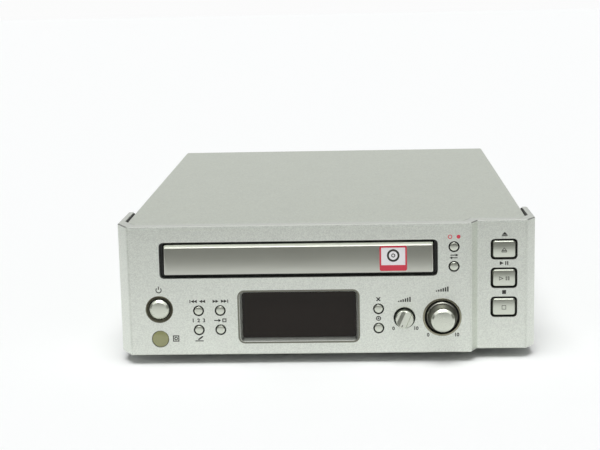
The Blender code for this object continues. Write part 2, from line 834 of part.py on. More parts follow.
def round_hole(name, place_share, radius, steps):
    """A cutter for a round hole through the front's main face."""
    centre = (face_x(place_share[0]), 0, face_z(place_share[1]))
    return cylinder(name, centre, radius, OVERRUN * 4, (0, 1, 0), steps)


def key_hole(name, place_share):
    loop = rounded_rectangle(
        face_x(place_share[0]),
        face_z(place_share[1]),
        KEY_WIDTH + 2 * KEY_RING,
        KEY_HEIGHT + 2 * KEY_RING,
        KEY_CORNER,
    )
    return front_plate(name, [loop], KEY_BAY_DEPTH - OVERRUN, FASCIA_WALL + 2 * OVERRUN)


def slot_hole(name):
    loop = rounded_rectangle(
        MECH_X, SLOT_BOTTOM + SLOT_HEIGHT / 2, SLOT_WIDTH, SLOT_HEIGHT, SLOT_CORNER
    )
    return front_plate(name, [loop], -OVERRUN, FASCIA_WALL + 2 * OVERRUN)


def display_hole(name):
    loop = rounded_rectangle(
        face_x(DISPLAY_X_SHARE), face_z(DISPLAY_Z_SHARE), DISPLAY_WIDTH, DISPLAY_HEIGHT, DISPLAY_CORNER
    )
    return front_plate(name, [loop], -OVERRUN, FASCIA_WALL + 2 * OVERRUN)


def make_front_panel():
    panel = flat_plate("panel", [front_path()], FASCIA_LIFT, FASCIA_HEIGHT)
    bevel(panel, FASCIA_EDGE, angle=20.0)
    cavity = flat_plate(
        "panel_cavity",
        [open_to_rear(inner_path(FASCIA_WALL, FASCIA_WALL + GAP))],
        FASCIA_LIFT + FASCIA_LIP_THICK,
        FASCIA_HEIGHT - 2 * FASCIA_LIP_THICK,
    )
    behind = flat_plate(
        "panel_behind_lips",
        [open_to_rear(inner_path(FASCIA_LIP_DEPTH, FASCIA_WALL))],
        FASCIA_LIFT - OVERRUN,
        FASCIA_HEIGHT + 2 * OVERRUN,
    )
    holes = [slot_hole("slot"), display_hole("display")]
    holes.append(round_hole("standby", STANDBY_PLACE_SHARE, STANDBY_HOLE, ROUND_STEPS))
    holes.append(round_hole("sensor", SENSOR_PLACE_SHARE, SENSOR_RADIUS + GAP, ROUND_STEPS))
    holes.append(round_hole("analog", ANALOG_PLACE_SHARE, ANALOG_HOLE, ROUND_STEPS))
    holes.append(round_hole("digital", DIGITAL_PLACE_SHARE, DIGITAL_HOLE, FINE_STEPS))
    for name, place in SMALL_BUTTON_PLACE_SHARES.items():
        holes.append(round_hole(name, place, SMALL_HOLE, SMALL_STEPS))
    for name, place in KEY_PLACE_SHARES.items():
        holes.append(key_hole(name, place))
    cut(panel, cavity, behind, merge("panel_holes", holes))
    finish(panel, "front_panel", satin_silver())


def subpanel_holes():
    """Openings of the sub-panel, as loops in x and z."""
    loops = [
        rounded_rectangle(
            MECH_X,
            DOOR_BOTTOM + DOOR_HEIGHT / 2,
            DOOR_WIDTH + 2 * TRAY_OPENING_MARGIN,
            DOOR_HEIGHT + 2 * TRAY_OPENING_MARGIN,
            SLOT_CORNER / 2,
        ),
        rectangle(
            face_x(DISPLAY_X_SHARE) - DISPLAY_WIDTH / 2 - GAP,
            face_x(DISPLAY_X_SHARE) + DISPLAY_WIDTH / 2 + GAP,
            face_z(DISPLAY_Z_SHARE) - DISPLAY_HEIGHT / 2 - GAP,
            face_z(DISPLAY_Z_SHARE) + DISPLAY_HEIGHT / 2 + GAP,
        ),
    ]
    stems = [STANDBY_PLACE_SHARE, *SMALL_BUTTON_PLACE_SHARES.values(), *KEY_PLACE_SHARES.values()]
    for x, z in stems:
        loops.append(circle(face_x(x), face_z(z), STEM_RADIUS + GAP, HIDDEN_STEPS))
    for x, z in (ANALOG_PLACE_SHARE, DIGITAL_PLACE_SHARE):
        loops.append(circle(face_x(x), face_z(z), KNOB_SHAFT_RADIUS + GAP, SMALL_STEPS))
    sensor_x, sensor_z = SENSOR_PLACE_SHARE
    loops.append(circle(face_x(sensor_x), face_z(sensor_z), SENSOR_RADIUS / 2, HIDDEN_STEPS))
    return loops


def board_bosses():
    """Bosses behind the sub-panel that carry the front board and the key board."""
    front_xs = (-BOSS_OUTER_SHARE * HALF_WIDTH, BOSS_INNER_SHARE * HALF_WIDTH)
    front_zs = [face_z(share) for share in FRONT_BOSS_Z_SHARES]
    key_xs = [face_x(share) for share in KEY_BOSS_X_SHARES]
    key_zs = [face_z(share) for share in KEY_BOSS_Z_SHARES]
    bosses = []
    for xs, zs, back, board in (
        (front_xs, front_zs, SUBPANEL_REAR, FRONT_BOARD_Y),
        (key_xs, key_zs, KEY_SUBPANEL_REAR, KEY_BOARD_Y),
    ):
        start = back - SUBPANEL_THICK / 2
        length = board - GAP - start
        for x in xs:
            for z in zs:
                centre = (x, start + length / 2, z)
                bosses.append(cylinder("boss", centre, BOSS_RADIUS, length, (0, 1, 0), PLUNGER_STEPS))
    return merge("board_bosses", bosses)


def make_front_subpanel():
    """A black moulding that lines the openings and guides the button stems."""
    low = FASCIA_LIFT + FASCIA_LIP_THICK + SUBPANEL_MARGIN
    high = FASCIA_TOP - FASCIA_LIP_THICK - SUBPANEL_MARGIN
    inner = inner_path(FASCIA_WALL + GAP, FASCIA_WALL + GAP)
    left = inner[2][0] + SUBPANEL_MARGIN
    step = inner[3][0] - SUBPANEL_MARGIN
    right = inner[5][0] - SUBPANEL_MARGIN
    section = [
        (left, SUBPANEL_FRONT),
        (step, SUBPANEL_FRONT),
        (step, KEY_SUBPANEL_FRONT),
        (right, KEY_SUBPANEL_FRONT),
        (right, KEY_SUBPANEL_REAR),
        (step - SUBPANEL_THICK, KEY_SUBPANEL_REAR),
        (step - SUBPANEL_THICK, SUBPANEL_REAR),
        (left, SUBPANEL_REAR),
    ]
    panel = flat_plate("front_subpanel", [section], low, high - low)
    reach = KEY_SUBPANEL_REAR + 2 * OVERRUN
    holes = [front_plate("subpanel_hole", [loop], -OVERRUN, reach) for loop in subpanel_holes()]
    add(panel, board_bosses())
    cut(panel, merge("subpanel_holes", holes))
    finish(panel, "front_subpanel", black_plastic())


# Case

def ahead_of_front_edge(name):
    """A cutter that shapes the sheet metal's front edge to the back of the front panel."""
    path = inner_path(FASCIA_LIP_DEPTH + GAP, FASCIA_WALL)
    inset = path[1:-1]
    reach = HALF_WIDTH + OVERRUN
    loop = [(-reach, -OVERRUN), (-reach, inset[0][1])] + inset
    loop += [(reach, inset[-1][1]), (reach, -OVERRUN)]
    return flat_plate(name, [loop], -OVERRUN, FASCIA_TOP + 2 * OVERRUN)


def screw_places():
    """Names, sides and centres of the screws that hold the cover to the chassis."""
    level = CHASSIS_LIFT + FLANGE_HEIGHT / 2
    places = []
    for side_name, side in (("left", -1), ("right", 1)):
        for row, share in (("front", SCREW_FRONT_SHARE), ("rear", SCREW_REAR_SHARE)):
            centre = (side * (COVER_HALF + GAP), share * COVER_DEPTH, level)
            places.append(("cover_screw_" + row + "_" + side_name, side, centre))
    return places


def screw_holes(name):
    holes = []
    for _, side, centre in screw_places():
        holes.append(cylinder("screw_hole", centre, SCREW_RADIUS + GAP, OVERRUN * 2, (side, 0, 0)))
    return merge(name, holes)


def make_top_cover():
    bottom = CHASSIS_LIFT + GAP
    cover = box(
        "cover",
        (-COVER_HALF, 0, bottom - OVERRUN),
        (COVER_HALF, COVER_DEPTH + OVERRUN, FASCIA_TOP),
    )
    bevel(cover, COVER_FOLD, segments=3)
    inside = box(
        "cover_inside",
        (-COVER_INSIDE, -OVERRUN, -OVERRUN * 2),
        (COVER_INSIDE, COVER_DEPTH + OVERRUN * 2, FASCIA_TOP - SHEET),
    )
    reach = HALF_WIDTH + OVERRUN
    below = box(
        "cover_below",
        (-reach, -OVERRUN, -OVERRUN * 2),
        (reach, COVER_DEPTH + OVERRUN * 2, bottom),
    )
    behind = box(
        "cover_behind",
        (-reach, COVER_DEPTH, -OVERRUN),
        (reach, COVER_DEPTH + OVERRUN * 2, FASCIA_TOP + OVERRUN),
    )
    cut(cover, inside, below, behind, ahead_of_front_edge("cover_front"), screw_holes("cover_holes"))
    finish(cover, "top_cover", cover_paint())


def standoff_places():
    """Centres of the main board's standoffs on the chassis floor."""
    left, right = MAIN_BOARD_X
    front, rear = MAIN_BOARD_Y
    inset = STANDOFF_RADIUS + GAP
    return [(x, y) for x in (left + inset, right - inset) for y in (front + inset, rear - inset)]


def make_bottom_chassis():
    chassis = box("chassis", (-CHASSIS_HALF, 0, CHASSIS_LIFT), (CHASSIS_HALF, CHASSIS_REAR, FLANGE_TOP))
    inside = box(
        "chassis_inside",
        (-CHASSIS_HALF + SHEET, -OVERRUN, CHASSIS_TOP),
        (CHASSIS_HALF - SHEET, CHASSIS_REAR - SHEET, FLANGE_TOP + OVERRUN),
    )
    cut(chassis, inside, ahead_of_front_edge("chassis_front"), screw_holes("chassis_holes"))
    for x, y in standoff_places():
        middle = CHASSIS_TOP + STANDOFF_HEIGHT / 2 - SHEET / 2
        height = STANDOFF_HEIGHT + SHEET
        add(chassis, cylinder("standoff", (x, y, middle), STANDOFF_RADIUS, height, (0, 0, 1)))
    finish(chassis, "bottom_chassis", zinc_steel())


def jack_places():
    x = JACK_PLACE_SHARE * COVER_HALF
    low = CONNECTOR_SEAT + JACK_BLOCK_MARGIN
    return [(x + i * JACK_PITCH, low + j * JACK_PITCH) for i in (0, 1) for j in (0, 1)]


def optical_places():
    x = OPTICAL_PLACE_SHARE * COVER_HALF
    return [(x + i * OPTICAL_PITCH, CONNECTOR_SEAT + OPTICAL_SIZE / 2) for i in (0, 1)]


def inlet_place():
    return (INLET_PLACE_SHARE * COVER_HALF, FLANGE_TOP + INLET_RAISE)


def make_rear_panel():
    high = FASCIA_TOP - SHEET - GAP
    loops = [rectangle(-CHASSIS_HALF, CHASSIS_HALF, CHASSIS_TOP, high)]
    for x, z in jack_places():
        loops.append(circle(x, z, JACK_BARREL + GAP, SMALL_STEPS))
    for x, z in optical_places():
        half = OPTICAL_SIZE / 2 - SHEET
        loops.append(rectangle(x - half, x + half, z - half, z + half))
    x, z = inlet_place()
    across = INLET_WIDTH / 2 + GAP
    up = INLET_HEIGHT / 2 + GAP
    loops.append(rectangle(x - across, x + across, z - up, z + up))
    panel = front_plate("rear", loops, REAR_INSIDE, SHEET)
    finish(panel, "rear_panel", cover_paint())


def make_feet():
    top = CHASSIS_LIFT - GAP
    profile = [(0, top), (FOOT_RADIUS, top), (FOOT_RADIUS - FOOT_TAPER, 0), (0, 0)]
    across = FOOT_WIDTH_SHARE * COVER_HALF
    for row, share in (("front", FOOT_FRONT_SHARE), ("rear", FOOT_REAR_SHARE)):
        for side, x in (("left", -across), ("right", across)):
            foot = turned("foot", profile, ROUND_STEPS)
            foot.location = (x, share * COVER_DEPTH, 0)
            finish(foot, "foot_" + row + "_" + side, dark_rubber())


def make_cover_screws():
    for name, side, centre in screw_places():
        profile = [
            (0, SCREW_HEAD),
            (SCREW_HEAD_RADIUS * DISH_MIDDLE_SHARE, SCREW_HEAD),
            (SCREW_HEAD_RADIUS, SCREW_HEAD / 3),
            (SCREW_HEAD_RADIUS, 0),
            (SCREW_RADIUS, 0),
            (SCREW_RADIUS, -SCREW_LENGTH),
            (0, -SCREW_LENGTH),
        ]
        screw = turned(name, profile, HIDDEN_STEPS)
        screw.rotation_euler = (0, side * math.pi / 2, 0)
        screw.location = centre
        finish(screw, name, screw_steel())


# Display

def make_display_bezel():
    x = face_x(DISPLAY_X_SHARE)
    z = face_z(DISPLAY_Z_SHARE)
    width = DISPLAY_WIDTH - 2 * GAP
    height = DISPLAY_HEIGHT - 2 * GAP
    outer = rounded_rectangle(x, z, width, height, DISPLAY_CORNER - GAP)
    bezel = front_plate("bezel", [outer], GAP, BEZEL_DEPTH)
    mouth_width = width - 2 * BEZEL_LAND
    mouth_height = height - 2 * BEZEL_LAND
    mouth = front_plate(
        "bezel_mouth",
        [rounded_rectangle(x, z, mouth_width, mouth_height, DISPLAY_CORNER - BEZEL_LAND)],
        GAP,
        WINDOW_RECESS,
    )
    narrow_to(mouth, x, z, mouth_width, mouth_height)
    window_width, window_height = window_size()
    pocket = centred_box(
        "bezel_pocket",
        (x, GAP + WINDOW_RECESS + BEZEL_DEPTH / 2, z),
        (window_width + 2 * GAP, BEZEL_DEPTH, window_height + 2 * GAP),
    )
    cut(bezel, mouth, pocket)
    finish(bezel, "display_bezel", satin_silver())


def narrow_to(mouth, x, z, width, height):
    """Draws the cutter's back in by the draft and pushes its front out past the face."""
    middle = GAP + WINDOW_RECESS / 2
    for vertex in mouth.data.vertices:
        draw = BEZEL_DRAFT
        if vertex.co.y < middle:
            draw = -BEZEL_DRAFT * OVERRUN / WINDOW_RECESS
            vertex.co.y -= OVERRUN
        else:
            vertex.co.y += GAP
        vertex.co.x = x + (vertex.co.x - x) * (width - 2 * draw) / width
        vertex.co.z = z + (vertex.co.z - z) * (height - 2 * draw) / height


def window_size():
    inset = 2 * (GAP + BEZEL_LAND + BEZEL_DRAFT - WINDOW_OVERLAP)
    return DISPLAY_WIDTH - inset, DISPLAY_HEIGHT - inset


def make_display_window():
    width, height = window_size()
    middle = 2 * GAP + WINDOW_RECESS + WINDOW_THICK / 2
    centre = (face_x(DISPLAY_X_SHARE), middle, face_z(DISPLAY_Z_SHARE))
    window = centred_box("window", centre, (width, WINDOW_THICK, height))
    finish(window, "display_window", smoked_acrylic())


def make_display_tube():
    """The fluorescent display's glass envelope, standing on the front board."""
    width, height = window_size()
    centre = (
        face_x(DISPLAY_X_SHARE),
        FRONT_BOARD_Y - GAP - TUBE_THICK / 2,
        face_z(DISPLAY_Z_SHARE),
    )
    tube = centred_box("tube", centre, (width - TUBE_MARGIN, TUBE_THICK, height - TUBE_MARGIN))
    finish(tube, "display_tube", display_glass())


# Controls

def stem_end(board_y):
    """How far back a button reaches: its travel short of the switch's plunger."""
    return board_y - GAP - SWITCH_THICK - SWITCH_PLUNGER - BUTTON_TRAVEL - GAP / 2


def round_button(name, place_share, radius, proud, dish, board_y, steps):
    """A turned cap with a flange behind the panel and a stem to its switch."""
    edge = radius - CAP_EDGE
    back = -(SUBPANEL_FRONT - RUNNING_GAP - BUTTON_TRAVEL)
    profile = [
        (0, proud - dish),
        (edge * DISH_MIDDLE_SHARE, proud - dish * DISH_FALL_SHARE),
        (edge, proud),
        (radius, proud - CAP_EDGE),
        (radius, back),
        (STEM_RADIUS, back),
        (STEM_RADIUS, -stem_end(board_y)),
        (0, -stem_end(board_y)),
    ]
    cap = facing_front(turned(name, profile, steps))
    cap.location = (face_x(place_share[0]), 0, face_z(place_share[1]))
    finish(cap, name, cap_silver())


def switch_board_y(place_share):
    """The keys and the upper right buttons press the key board, the others the front board."""
    is_key = place_share in KEY_PLACE_SHARES.values()
    beside_keys = place_share[0] > KEY_BOARD_UPPER_SHARE and place_share[1] > SLOT_BOTTOM_SHARE
    return KEY_BOARD_Y if is_key or beside_keys else FRONT_BOARD_Y


def make_round_buttons():
    for name, place in SMALL_BUTTON_PLACE_SHARES.items():
        board_y = switch_board_y(place)
        round_button(name, place, SMALL_CAP_RADIUS, SMALL_PROUD, SMALL_DISH, board_y, SMALL_STEPS)
    round_button(
        "standby_button",
        STANDBY_PLACE_SHARE,
        STANDBY_RADIUS,
        STANDBY_PROUD,
        -SMALL_DISH,
        FRONT_BOARD_Y,
        ROUND_STEPS,
    )


def make_keys():
    """The three transport keys in the right bay."""
    front = KEY_BAY_DEPTH - KEY_PROUD
    for name, (x_share, z_share) in KEY_PLACE_SHARES.items():
        loop = rounded_rectangle(0, 0, KEY_WIDTH, KEY_HEIGHT, KEY_CORNER - KEY_RING / 2)
        key = front_plate(name, [loop], front, KEY_THICK)
        for vertex in key.data.vertices:
            vertex.co.y -= KEY_BAY_DEPTH
        bevel(key, KEY_CHAMFER, angle=60.0)
        reach = stem_end(KEY_BOARD_Y) - front - KEY_THICK / 2
        middle = front + KEY_THICK / 2 + reach / 2 - KEY_BAY_DEPTH
        stem = cylinder("stem", (0, middle, 0), STEM_RADIUS, reach, (0, 1, 0), HIDDEN_STEPS)
        add(key, stem)
        key.location = (face_x(x_share), KEY_BAY_DEPTH, face_z(z_share))
        finish(key, name, cap_silver())
        stem.parent = key


def make_standby_ring():
    outer = STANDBY_HOLE - GAP
    inner = STANDBY_RADIUS + GAP
    profile = [
        (outer, 0),
        (outer, -FASCIA_WALL),
        (inner, -FASCIA_WALL),
        (inner, -RING_DEPTH),
    ]
    ring = facing_front(turned("standby_ring", profile, ROUND_STEPS, closed=True))
    ring.location = (face_x(STANDBY_PLACE_SHARE[0]), 0, face_z(STANDBY_PLACE_SHARE[1]))
    finish(ring, "standby_ring", gloss_black())


def make_sensor_window():
    """The remote sensor's tinted window."""
    profile = [
        (0, GAP),
        (SENSOR_RADIUS - GAP, GAP),
        (SENSOR_RADIUS, 0),
        (SENSOR_RADIUS, -FASCIA_WALL),
        (0, -FASCIA_WALL),
    ]
    window = facing_front(turned("sensor", profile, ROUND_STEPS))
    window.location = (face_x(SENSOR_PLACE_SHARE[0]), 0, face_z(SENSOR_PLACE_SHARE[1]))
    finish(window, "sensor_window", sensor_tint())


def knob_shaft_end():
    """The depth at which the knob's shaft ends inside its control."""
    return FRONT_BOARD_Y - GAP - CONTROL_BODY_THICK + KNOB_SHAFT_INSIDE


def make_analog_knob():
    """The small level knob, with a raised pointer bar across its face."""
    back = FASCIA_WALL - RUNNING_GAP
    profile = [
        (0, ANALOG_PROUD),
        (ANALOG_RADIUS - KNOB_EDGE, ANALOG_PROUD),
        (ANALOG_RADIUS, ANALOG_PROUD - KNOB_EDGE),
        (ANALOG_RADIUS, -back),
        (KNOB_SHAFT_RADIUS, -back),
        (KNOB_SHAFT_RADIUS, -knob_shaft_end()),
        (0, -knob_shaft_end()),
    ]
    knob = turned("analog_knob", profile, ROUND_STEPS)
    pointer = centred_box(
        "pointer",
        (0, 0, ANALOG_PROUD + POINTER_RISE / 2 - KNOB_EDGE / 2),
        (POINTER_WIDTH, 2 * ANALOG_RADIUS - 2 * KNOB_EDGE, POINTER_RISE + KNOB_EDGE),
    )
    pointer.data.transform(Matrix.Rotation(math.radians(-POINTER_TURN), 4, "Z"))
    add(knob, pointer)
    facing_front(knob)
    knob.location = (face_x(ANALOG_PLACE_SHARE[0]), 0, face_z(ANALOG_PLACE_SHARE[1]))
    finish(knob, "analog_knob", cap_silver())
    pointer.parent = knob


def make_digital_knob():
    """The large flared knob; its flank draws in as a quarter wave towards the face."""
    back = FASCIA_WALL - RUNNING_GAP
    profile = [(0, DIGITAL_PROUD), (DIGITAL_RADIUS - DIGITAL_CHAMFER, DIGITAL_PROUD)]
    for i in range(FLARE_STEPS + 1):
        share = i / FLARE_STEPS
        radius = DIGITAL_RADIUS + (DIGITAL_FLARE - DIGITAL_RADIUS) * (1 - math.cos(share * math.pi / 2))
        profile.append((radius, (DIGITAL_PROUD - DIGITAL_CHAMFER) * (1 - share)))
    profile += [
        (DIGITAL_FLARE, -KNOB_EDGE),
        (KNOB_SHAFT_RADIUS + KNOB_EDGE, -back),
        (KNOB_SHAFT_RADIUS, -back),
        (KNOB_SHAFT_RADIUS, -knob_shaft_end()),
        (0, -knob_shaft_end()),
    ]
    knob = facing_front(turned("digital_knob", profile, FINE_STEPS))
    knob.location = (face_x(DIGITAL_PLACE_SHARE[0]), 0, face_z(DIGITAL_PLACE_SHARE[1]))
    finish(knob, "digital_knob", cap_silver())


def make_knob_dish():
    """The dished ring that the large knob turns in."""
    outer = DIGITAL_HOLE - GAP
    inner = DIGITAL_FLARE + RUNNING_GAP
    profile = [
        (outer, 0),
        (outer, -FASCIA_WALL),
        (KNOB_SHAFT_RADIUS + GAP, -FASCIA_WALL),
        (KNOB_SHAFT_RADIUS + GAP, -FASCIA_WALL + GAP),
        (inner, -DISH_DEPTH),
    ]
    dish = facing_front(turned("knob_dish", profile, FINE_STEPS, closed=True))
    dish.location = (face_x(DIGITAL_PLACE_SHARE[0]), 0, face_z(DIGITAL_PLACE_SHARE[1]))
    finish(dish, "knob_dish", gloss_black())


# Boards, each with the parts that are soldered to it

def rotary_control(place_share):
    """A control's body, soldered into the front board and bored for the knob's shaft."""
    thick = CONTROL_BODY_THICK
    bore = KNOB_SHAFT_RADIUS + GAP
    floor = thick - KNOB_SHAFT_INSIDE - GAP
    foot = -BOARD_THICK / 2
    profile = [(0, floor), (bore, floor), (bore, thick)]
    profile += [(CONTROL_BODY_RADIUS, thick), (CONTROL_BODY_RADIUS, foot), (0, foot)]
    body = facing_front(turned("control", profile, SMALL_STEPS))
    body.location = (face_x(place_share[0]), FRONT_BOARD_Y, face_z(place_share[1]))
    return body


def switches_on(board_y):
    """The push switches of one board, as one operand."""
    places = [STANDBY_PLACE_SHARE, *SMALL_BUTTON_PLACE_SHARES.values(), *KEY_PLACE_SHARES.values()]
    here = [place for place in places if switch_board_y(place) == board_y]
    return merge("switches", [tact_switch(place, board_y) for place in here])


def make_front_board():
    low = FLOOR_SEAT + BOARD_MARGIN
    high = SLOT_BOTTOM - BOARD_MARGIN / 2
    left = -HALF_WIDTH + LEFT_CORNER_RUN + BOARD_MARGIN
    board = box(
        "front_board",
        (left, FRONT_BOARD_Y, low),
        (face_x(FRONT_BOARD_RIGHT_SHARE), FRONT_BOARD_Y + BOARD_THICK, high),
    )
    add(board, switches_on(FRONT_BOARD_Y))
    add(board, rotary_control(ANALOG_PLACE_SHARE), rotary_control(DIGITAL_PLACE_SHARE))
    finish(board, "front_board", board_green())


def make_key_board():
    """An upright board whose upper part reaches left behind the two small buttons."""
    low = FLOOR_SEAT + BOARD_MARGIN
    high = FASCIA_TOP - SHEET - BOARD_MARGIN
    middle = SLOT_BOTTOM
    left = face_x(KEY_BOARD_LEFT_SHARE)
    upper_left = face_x(KEY_BOARD_UPPER_SHARE)
    right = COVER_INSIDE - BOARD_MARGIN
    loop = [
        (left, low),
        (right, low),
        (right, high),
        (upper_left, high),
        (upper_left, middle),
        (left, middle),
    ]
    board = front_plate("key_board", [loop], KEY_BOARD_Y, BOARD_THICK)
    add(board, switches_on(KEY_BOARD_Y))
    finish(board, "key_board", board_green())


def tact_switch(place_share, board_y):
    """A push switch: a square body that stands in its board, and a plunger."""
    x = face_x(place_share[0])
    z = face_z(place_share[1])
    foot = board_y + BOARD_THICK / 2
    depth = SWITCH_THICK + BOARD_THICK / 2
    body = centred_box("switch", (x, foot - depth / 2, z), (SWITCH_SIZE, depth, SWITCH_SIZE))
    reach = SWITCH_PLUNGER + SWITCH_THICK / 2
    middle = board_y - SWITCH_THICK - SWITCH_PLUNGER + reach / 2
    plunger = cylinder("plunger", (x, middle, z), SWITCH_PLUNGER_RADIUS, reach, (0, 1, 0), PLUNGER_STEPS)
    return add(body, plunger)


def make_main_board():
    """The board with its chips, capacitors and heat sink."""
    left, right = MAIN_BOARD_X
    front, rear = MAIN_BOARD_Y
    board = box("main_board", (left, front, MAIN_BOARD_Z), (right, rear, MAIN_BOARD_TOP))
    add(board, board_parts())
    finish(board, "main_board", board_green())


def on_main_board(place_share):
    left, right = MAIN_BOARD_X
    front, rear = MAIN_BOARD_Y
    return left + place_share[0] * (right - left), front + place_share[1] * (rear - front)


def board_parts():
    """Capacitors, chips and a heat sink, standing in the main board."""
    foot = MAIN_BOARD_Z + BOARD_THICK / 2
    sunk = BOARD_THICK / 2
    pieces = []
    for place in CAPACITOR_PLACE_SHARES:
        x, y = on_main_board(place)
        height = CAPACITOR_HEIGHT + sunk
        middle = (x, y, foot + height / 2)
        pieces.append(cylinder("capacitor", middle, CAPACITOR_RADIUS, height, (0, 0, 1), SMALL_STEPS))
    for place in CHIP_PLACE_SHARES:
        x, y = on_main_board(place)
        height = CHIP_THICK + sunk
        pieces.append(centred_box("chip", (x, y, foot + height / 2), (CHIP_SIZE, CHIP_SIZE, height)))
    x, y = on_main_board(HEATSINK_PLACE_SHARE)
    height = HEATSINK_HEIGHT + sunk
    size = (HEATSINK_WIDTH, HEATSINK_THICK, height)
    pieces.append(centred_box("heatsink", (x, y, foot + height / 2), size))
    return merge("board_parts", pieces)


def make_power_transformer():
    x = COVER_INSIDE - TRANSFORMER_INSET - CORE_SIZE[0] / 2
    y = FRAME_START + TRANSFORMER_BACK
    core = centred_box("core", (x, y, FLOOR_SEAT + CORE_SIZE[2] / 2), CORE_SIZE)
    coil = centred_box(
        "coil",
        (x, y, FLOOR_SEAT + CORE_SIZE[2] / 2),
        (CORE_SIZE[0] + 2 * COIL_RAISE, COIL_LENGTH, COIL_HEIGHT),
    )
    bevel(coil, COIL_RAISE / 2, segments=2)
    add(core, coil)
    finish(core, "power_transformer", core_iron())


# Rear connectors

def make_rca_jacks():
    places = jack_places()
    xs = [x for x, _ in places]
    zs = [z for _, z in places]
    margin = JACK_BLOCK_MARGIN
    block = box(
        "jack_block",
        (min(xs) - margin, REAR_INSIDE - GAP - JACK_BLOCK_DEPTH, min(zs) - margin + GAP),
        (max(xs) + margin, REAR_INSIDE - GAP, max(zs) + margin),
    )
    barrels = []
    bores = []
    reach = JACK_REACH + SHEET + GAP
    for x, z in places:
        middle = REAR_OUTSIDE + JACK_REACH - (reach + SHEET) / 2
        centre = (x, middle, z)
        barrels.append(cylinder("barrel", centre, JACK_BARREL, reach + SHEET, (0, 1, 0), SMALL_STEPS))
        mouth = (x, REAR_OUTSIDE + JACK_REACH, z)
        bores.append(cylinder("bore", mouth, JACK_BORE, 2 * JACK_BORE_DEPTH, (0, 1, 0), PLUNGER_STEPS))
    add(block, merge("barrels", barrels))
    cut(block, merge("bores", bores))
    finish(block, "rca_jacks", black_plastic())


def make_optical_jacks():
    """One block with a socket each for optical input and output."""
    places = optical_places()
    back = REAR_INSIDE - GAP
    half = OPTICAL_SIZE / 2
    z = places[0][1]
    jacks = box(
        "optical",
        (places[0][0] - half, back - OPTICAL_SIZE, z - half + GAP),
        (places[-1][0] + half, back, z + half),
    )
    recesses = []
    for x, z in places:
        size = (OPTICAL_RECESS, 2 * OPTICAL_RECESS_DEPTH, OPTICAL_RECESS)
        recesses.append(centred_box("optical_recess", (x, back, z), size))
    cut(jacks, merge("optical_recesses", recesses))
    finish(jacks, "optical_jacks", black_plastic())


def make_power_inlet():
    """A two-pin mains inlet that is held by its flange outside the rear panel."""
    x, z = inlet_place()
    outside = REAR_OUTSIDE + GAP + INLET_FLANGE_THICK
    body = box(
        "inlet",
        (x - INLET_WIDTH / 2, outside - INLET_DEPTH, z - INLET_HEIGHT / 2),
        (x + INLET_WIDTH / 2, outside, z + INLET_HEIGHT / 2),
    )
    flange = centred_box(
        "inlet_flange",
        (x, outside - INLET_FLANGE_THICK / 2, z),
        (INLET_WIDTH + 2 * INLET_FLANGE, INLET_FLANGE_THICK, INLET_HEIGHT + 2 * INLET_FLANGE),
    )
    half = (INLET_SOCKET_WIDTH - INLET_SOCKET_HEIGHT) / 2
    socket = front_plate(
        "inlet_socket",
        [stadium((x - half, z), (x + half, z), INLET_SOCKET_HEIGHT / 2)],
        outside - INLET_SOCKET_DEPTH,
        INLET_SOCKET_DEPTH + OVERRUN,
    )
    add(body, flange)
    cut(body, socket)
    length = INLET_SOCKET_DEPTH - 2 * SHEET
    for side in (-1, 1):
        pin_x = x + side * INLET_PIN_PITCH / 2
        centre = (pin_x, outside - INLET_SOCKET_DEPTH + length / 2 - SHEET / 2, z)
        pin = cylinder("pin", centre, INLET_PIN_RADIUS, length + SHEET, (0, 1, 0), PLUNGER_STEPS)
        add(body, pin)
    finish(body, "power_inlet", black_plastic())


# Tray and its drive

def make_disc_tray():
    """The tray: a disc well, a smaller well in it, a pickup slot open to the rear and a rack."""
    half = TRAY_WIDTH / 2
    rear = TRAY_FRONT + TRAY_LENGTH
    tray = box("tray", (MECH_X - half, TRAY_FRONT, TRAY_BOTTOM), (MECH_X + half, rear, TRAY_TOP))
    rack_loop = rack_outline(
        RACK_MODULE,
        RACK_BACK,
        RACK_PITCH_X,
        TRAY_FRONT + RACK_START,
        TRAY_LENGTH - RACK_START - RACK_BACK,
        TRAY_GEAR_Y,
    )
    rack = flat_plate("rack", [rack_loop], RACK_BOTTOM, RACK_HEIGHT + TRAY_THICK / 4)
    add(tray, rack)
    tall = OVERRUN * 2
    middle = (MECH_X, DISC_Y, WELL_FLOOR + tall / 2)
    well = cylinder("disc_well", middle, DISC_WELL_RADIUS, tall, (0, 0, 1), 2 * FINE_STEPS)
    middle = (MECH_X, DISC_Y, WELL_FLOOR - SMALL_WELL_DEPTH + tall / 2)
    small = cylinder("small_well", middle, SMALL_WELL_RADIUS, tall, (0, 0, 1), 2 * ROUND_STEPS)
    slot_loop = arc((MECH_X, DISC_Y), PICKUP_SLOT_RADIUS, 180, 360, ROUND_STEPS // 2)
    slot_loop.append((MECH_X + PICKUP_SLOT_RADIUS, rear + OVERRUN))
    slot_loop.append((MECH_X - PICKUP_SLOT_RADIUS, rear + OVERRUN))
    slot = flat_plate("pickup_slot", [slot_loop], TRAY_BOTTOM - OVERRUN, TRAY_THICK + 2 * OVERRUN)
    cut(tray, well, small, slot)
    finish(tray, "disc_tray", black_plastic())


def make_tray_door():
    half = DOOR_WIDTH / 2
    door = box(
        "door",
        (MECH_X - half, DOOR_FRONT, DOOR_BOTTOM),
        (MECH_X + half, DOOR_FRONT + DOOR_THICK, DOOR_BOTTOM + DOOR_HEIGHT),
    )
    bevel(door, DOOR_CHAMFER, segments=2)
    finish(door, "tray_door", satin_silver())


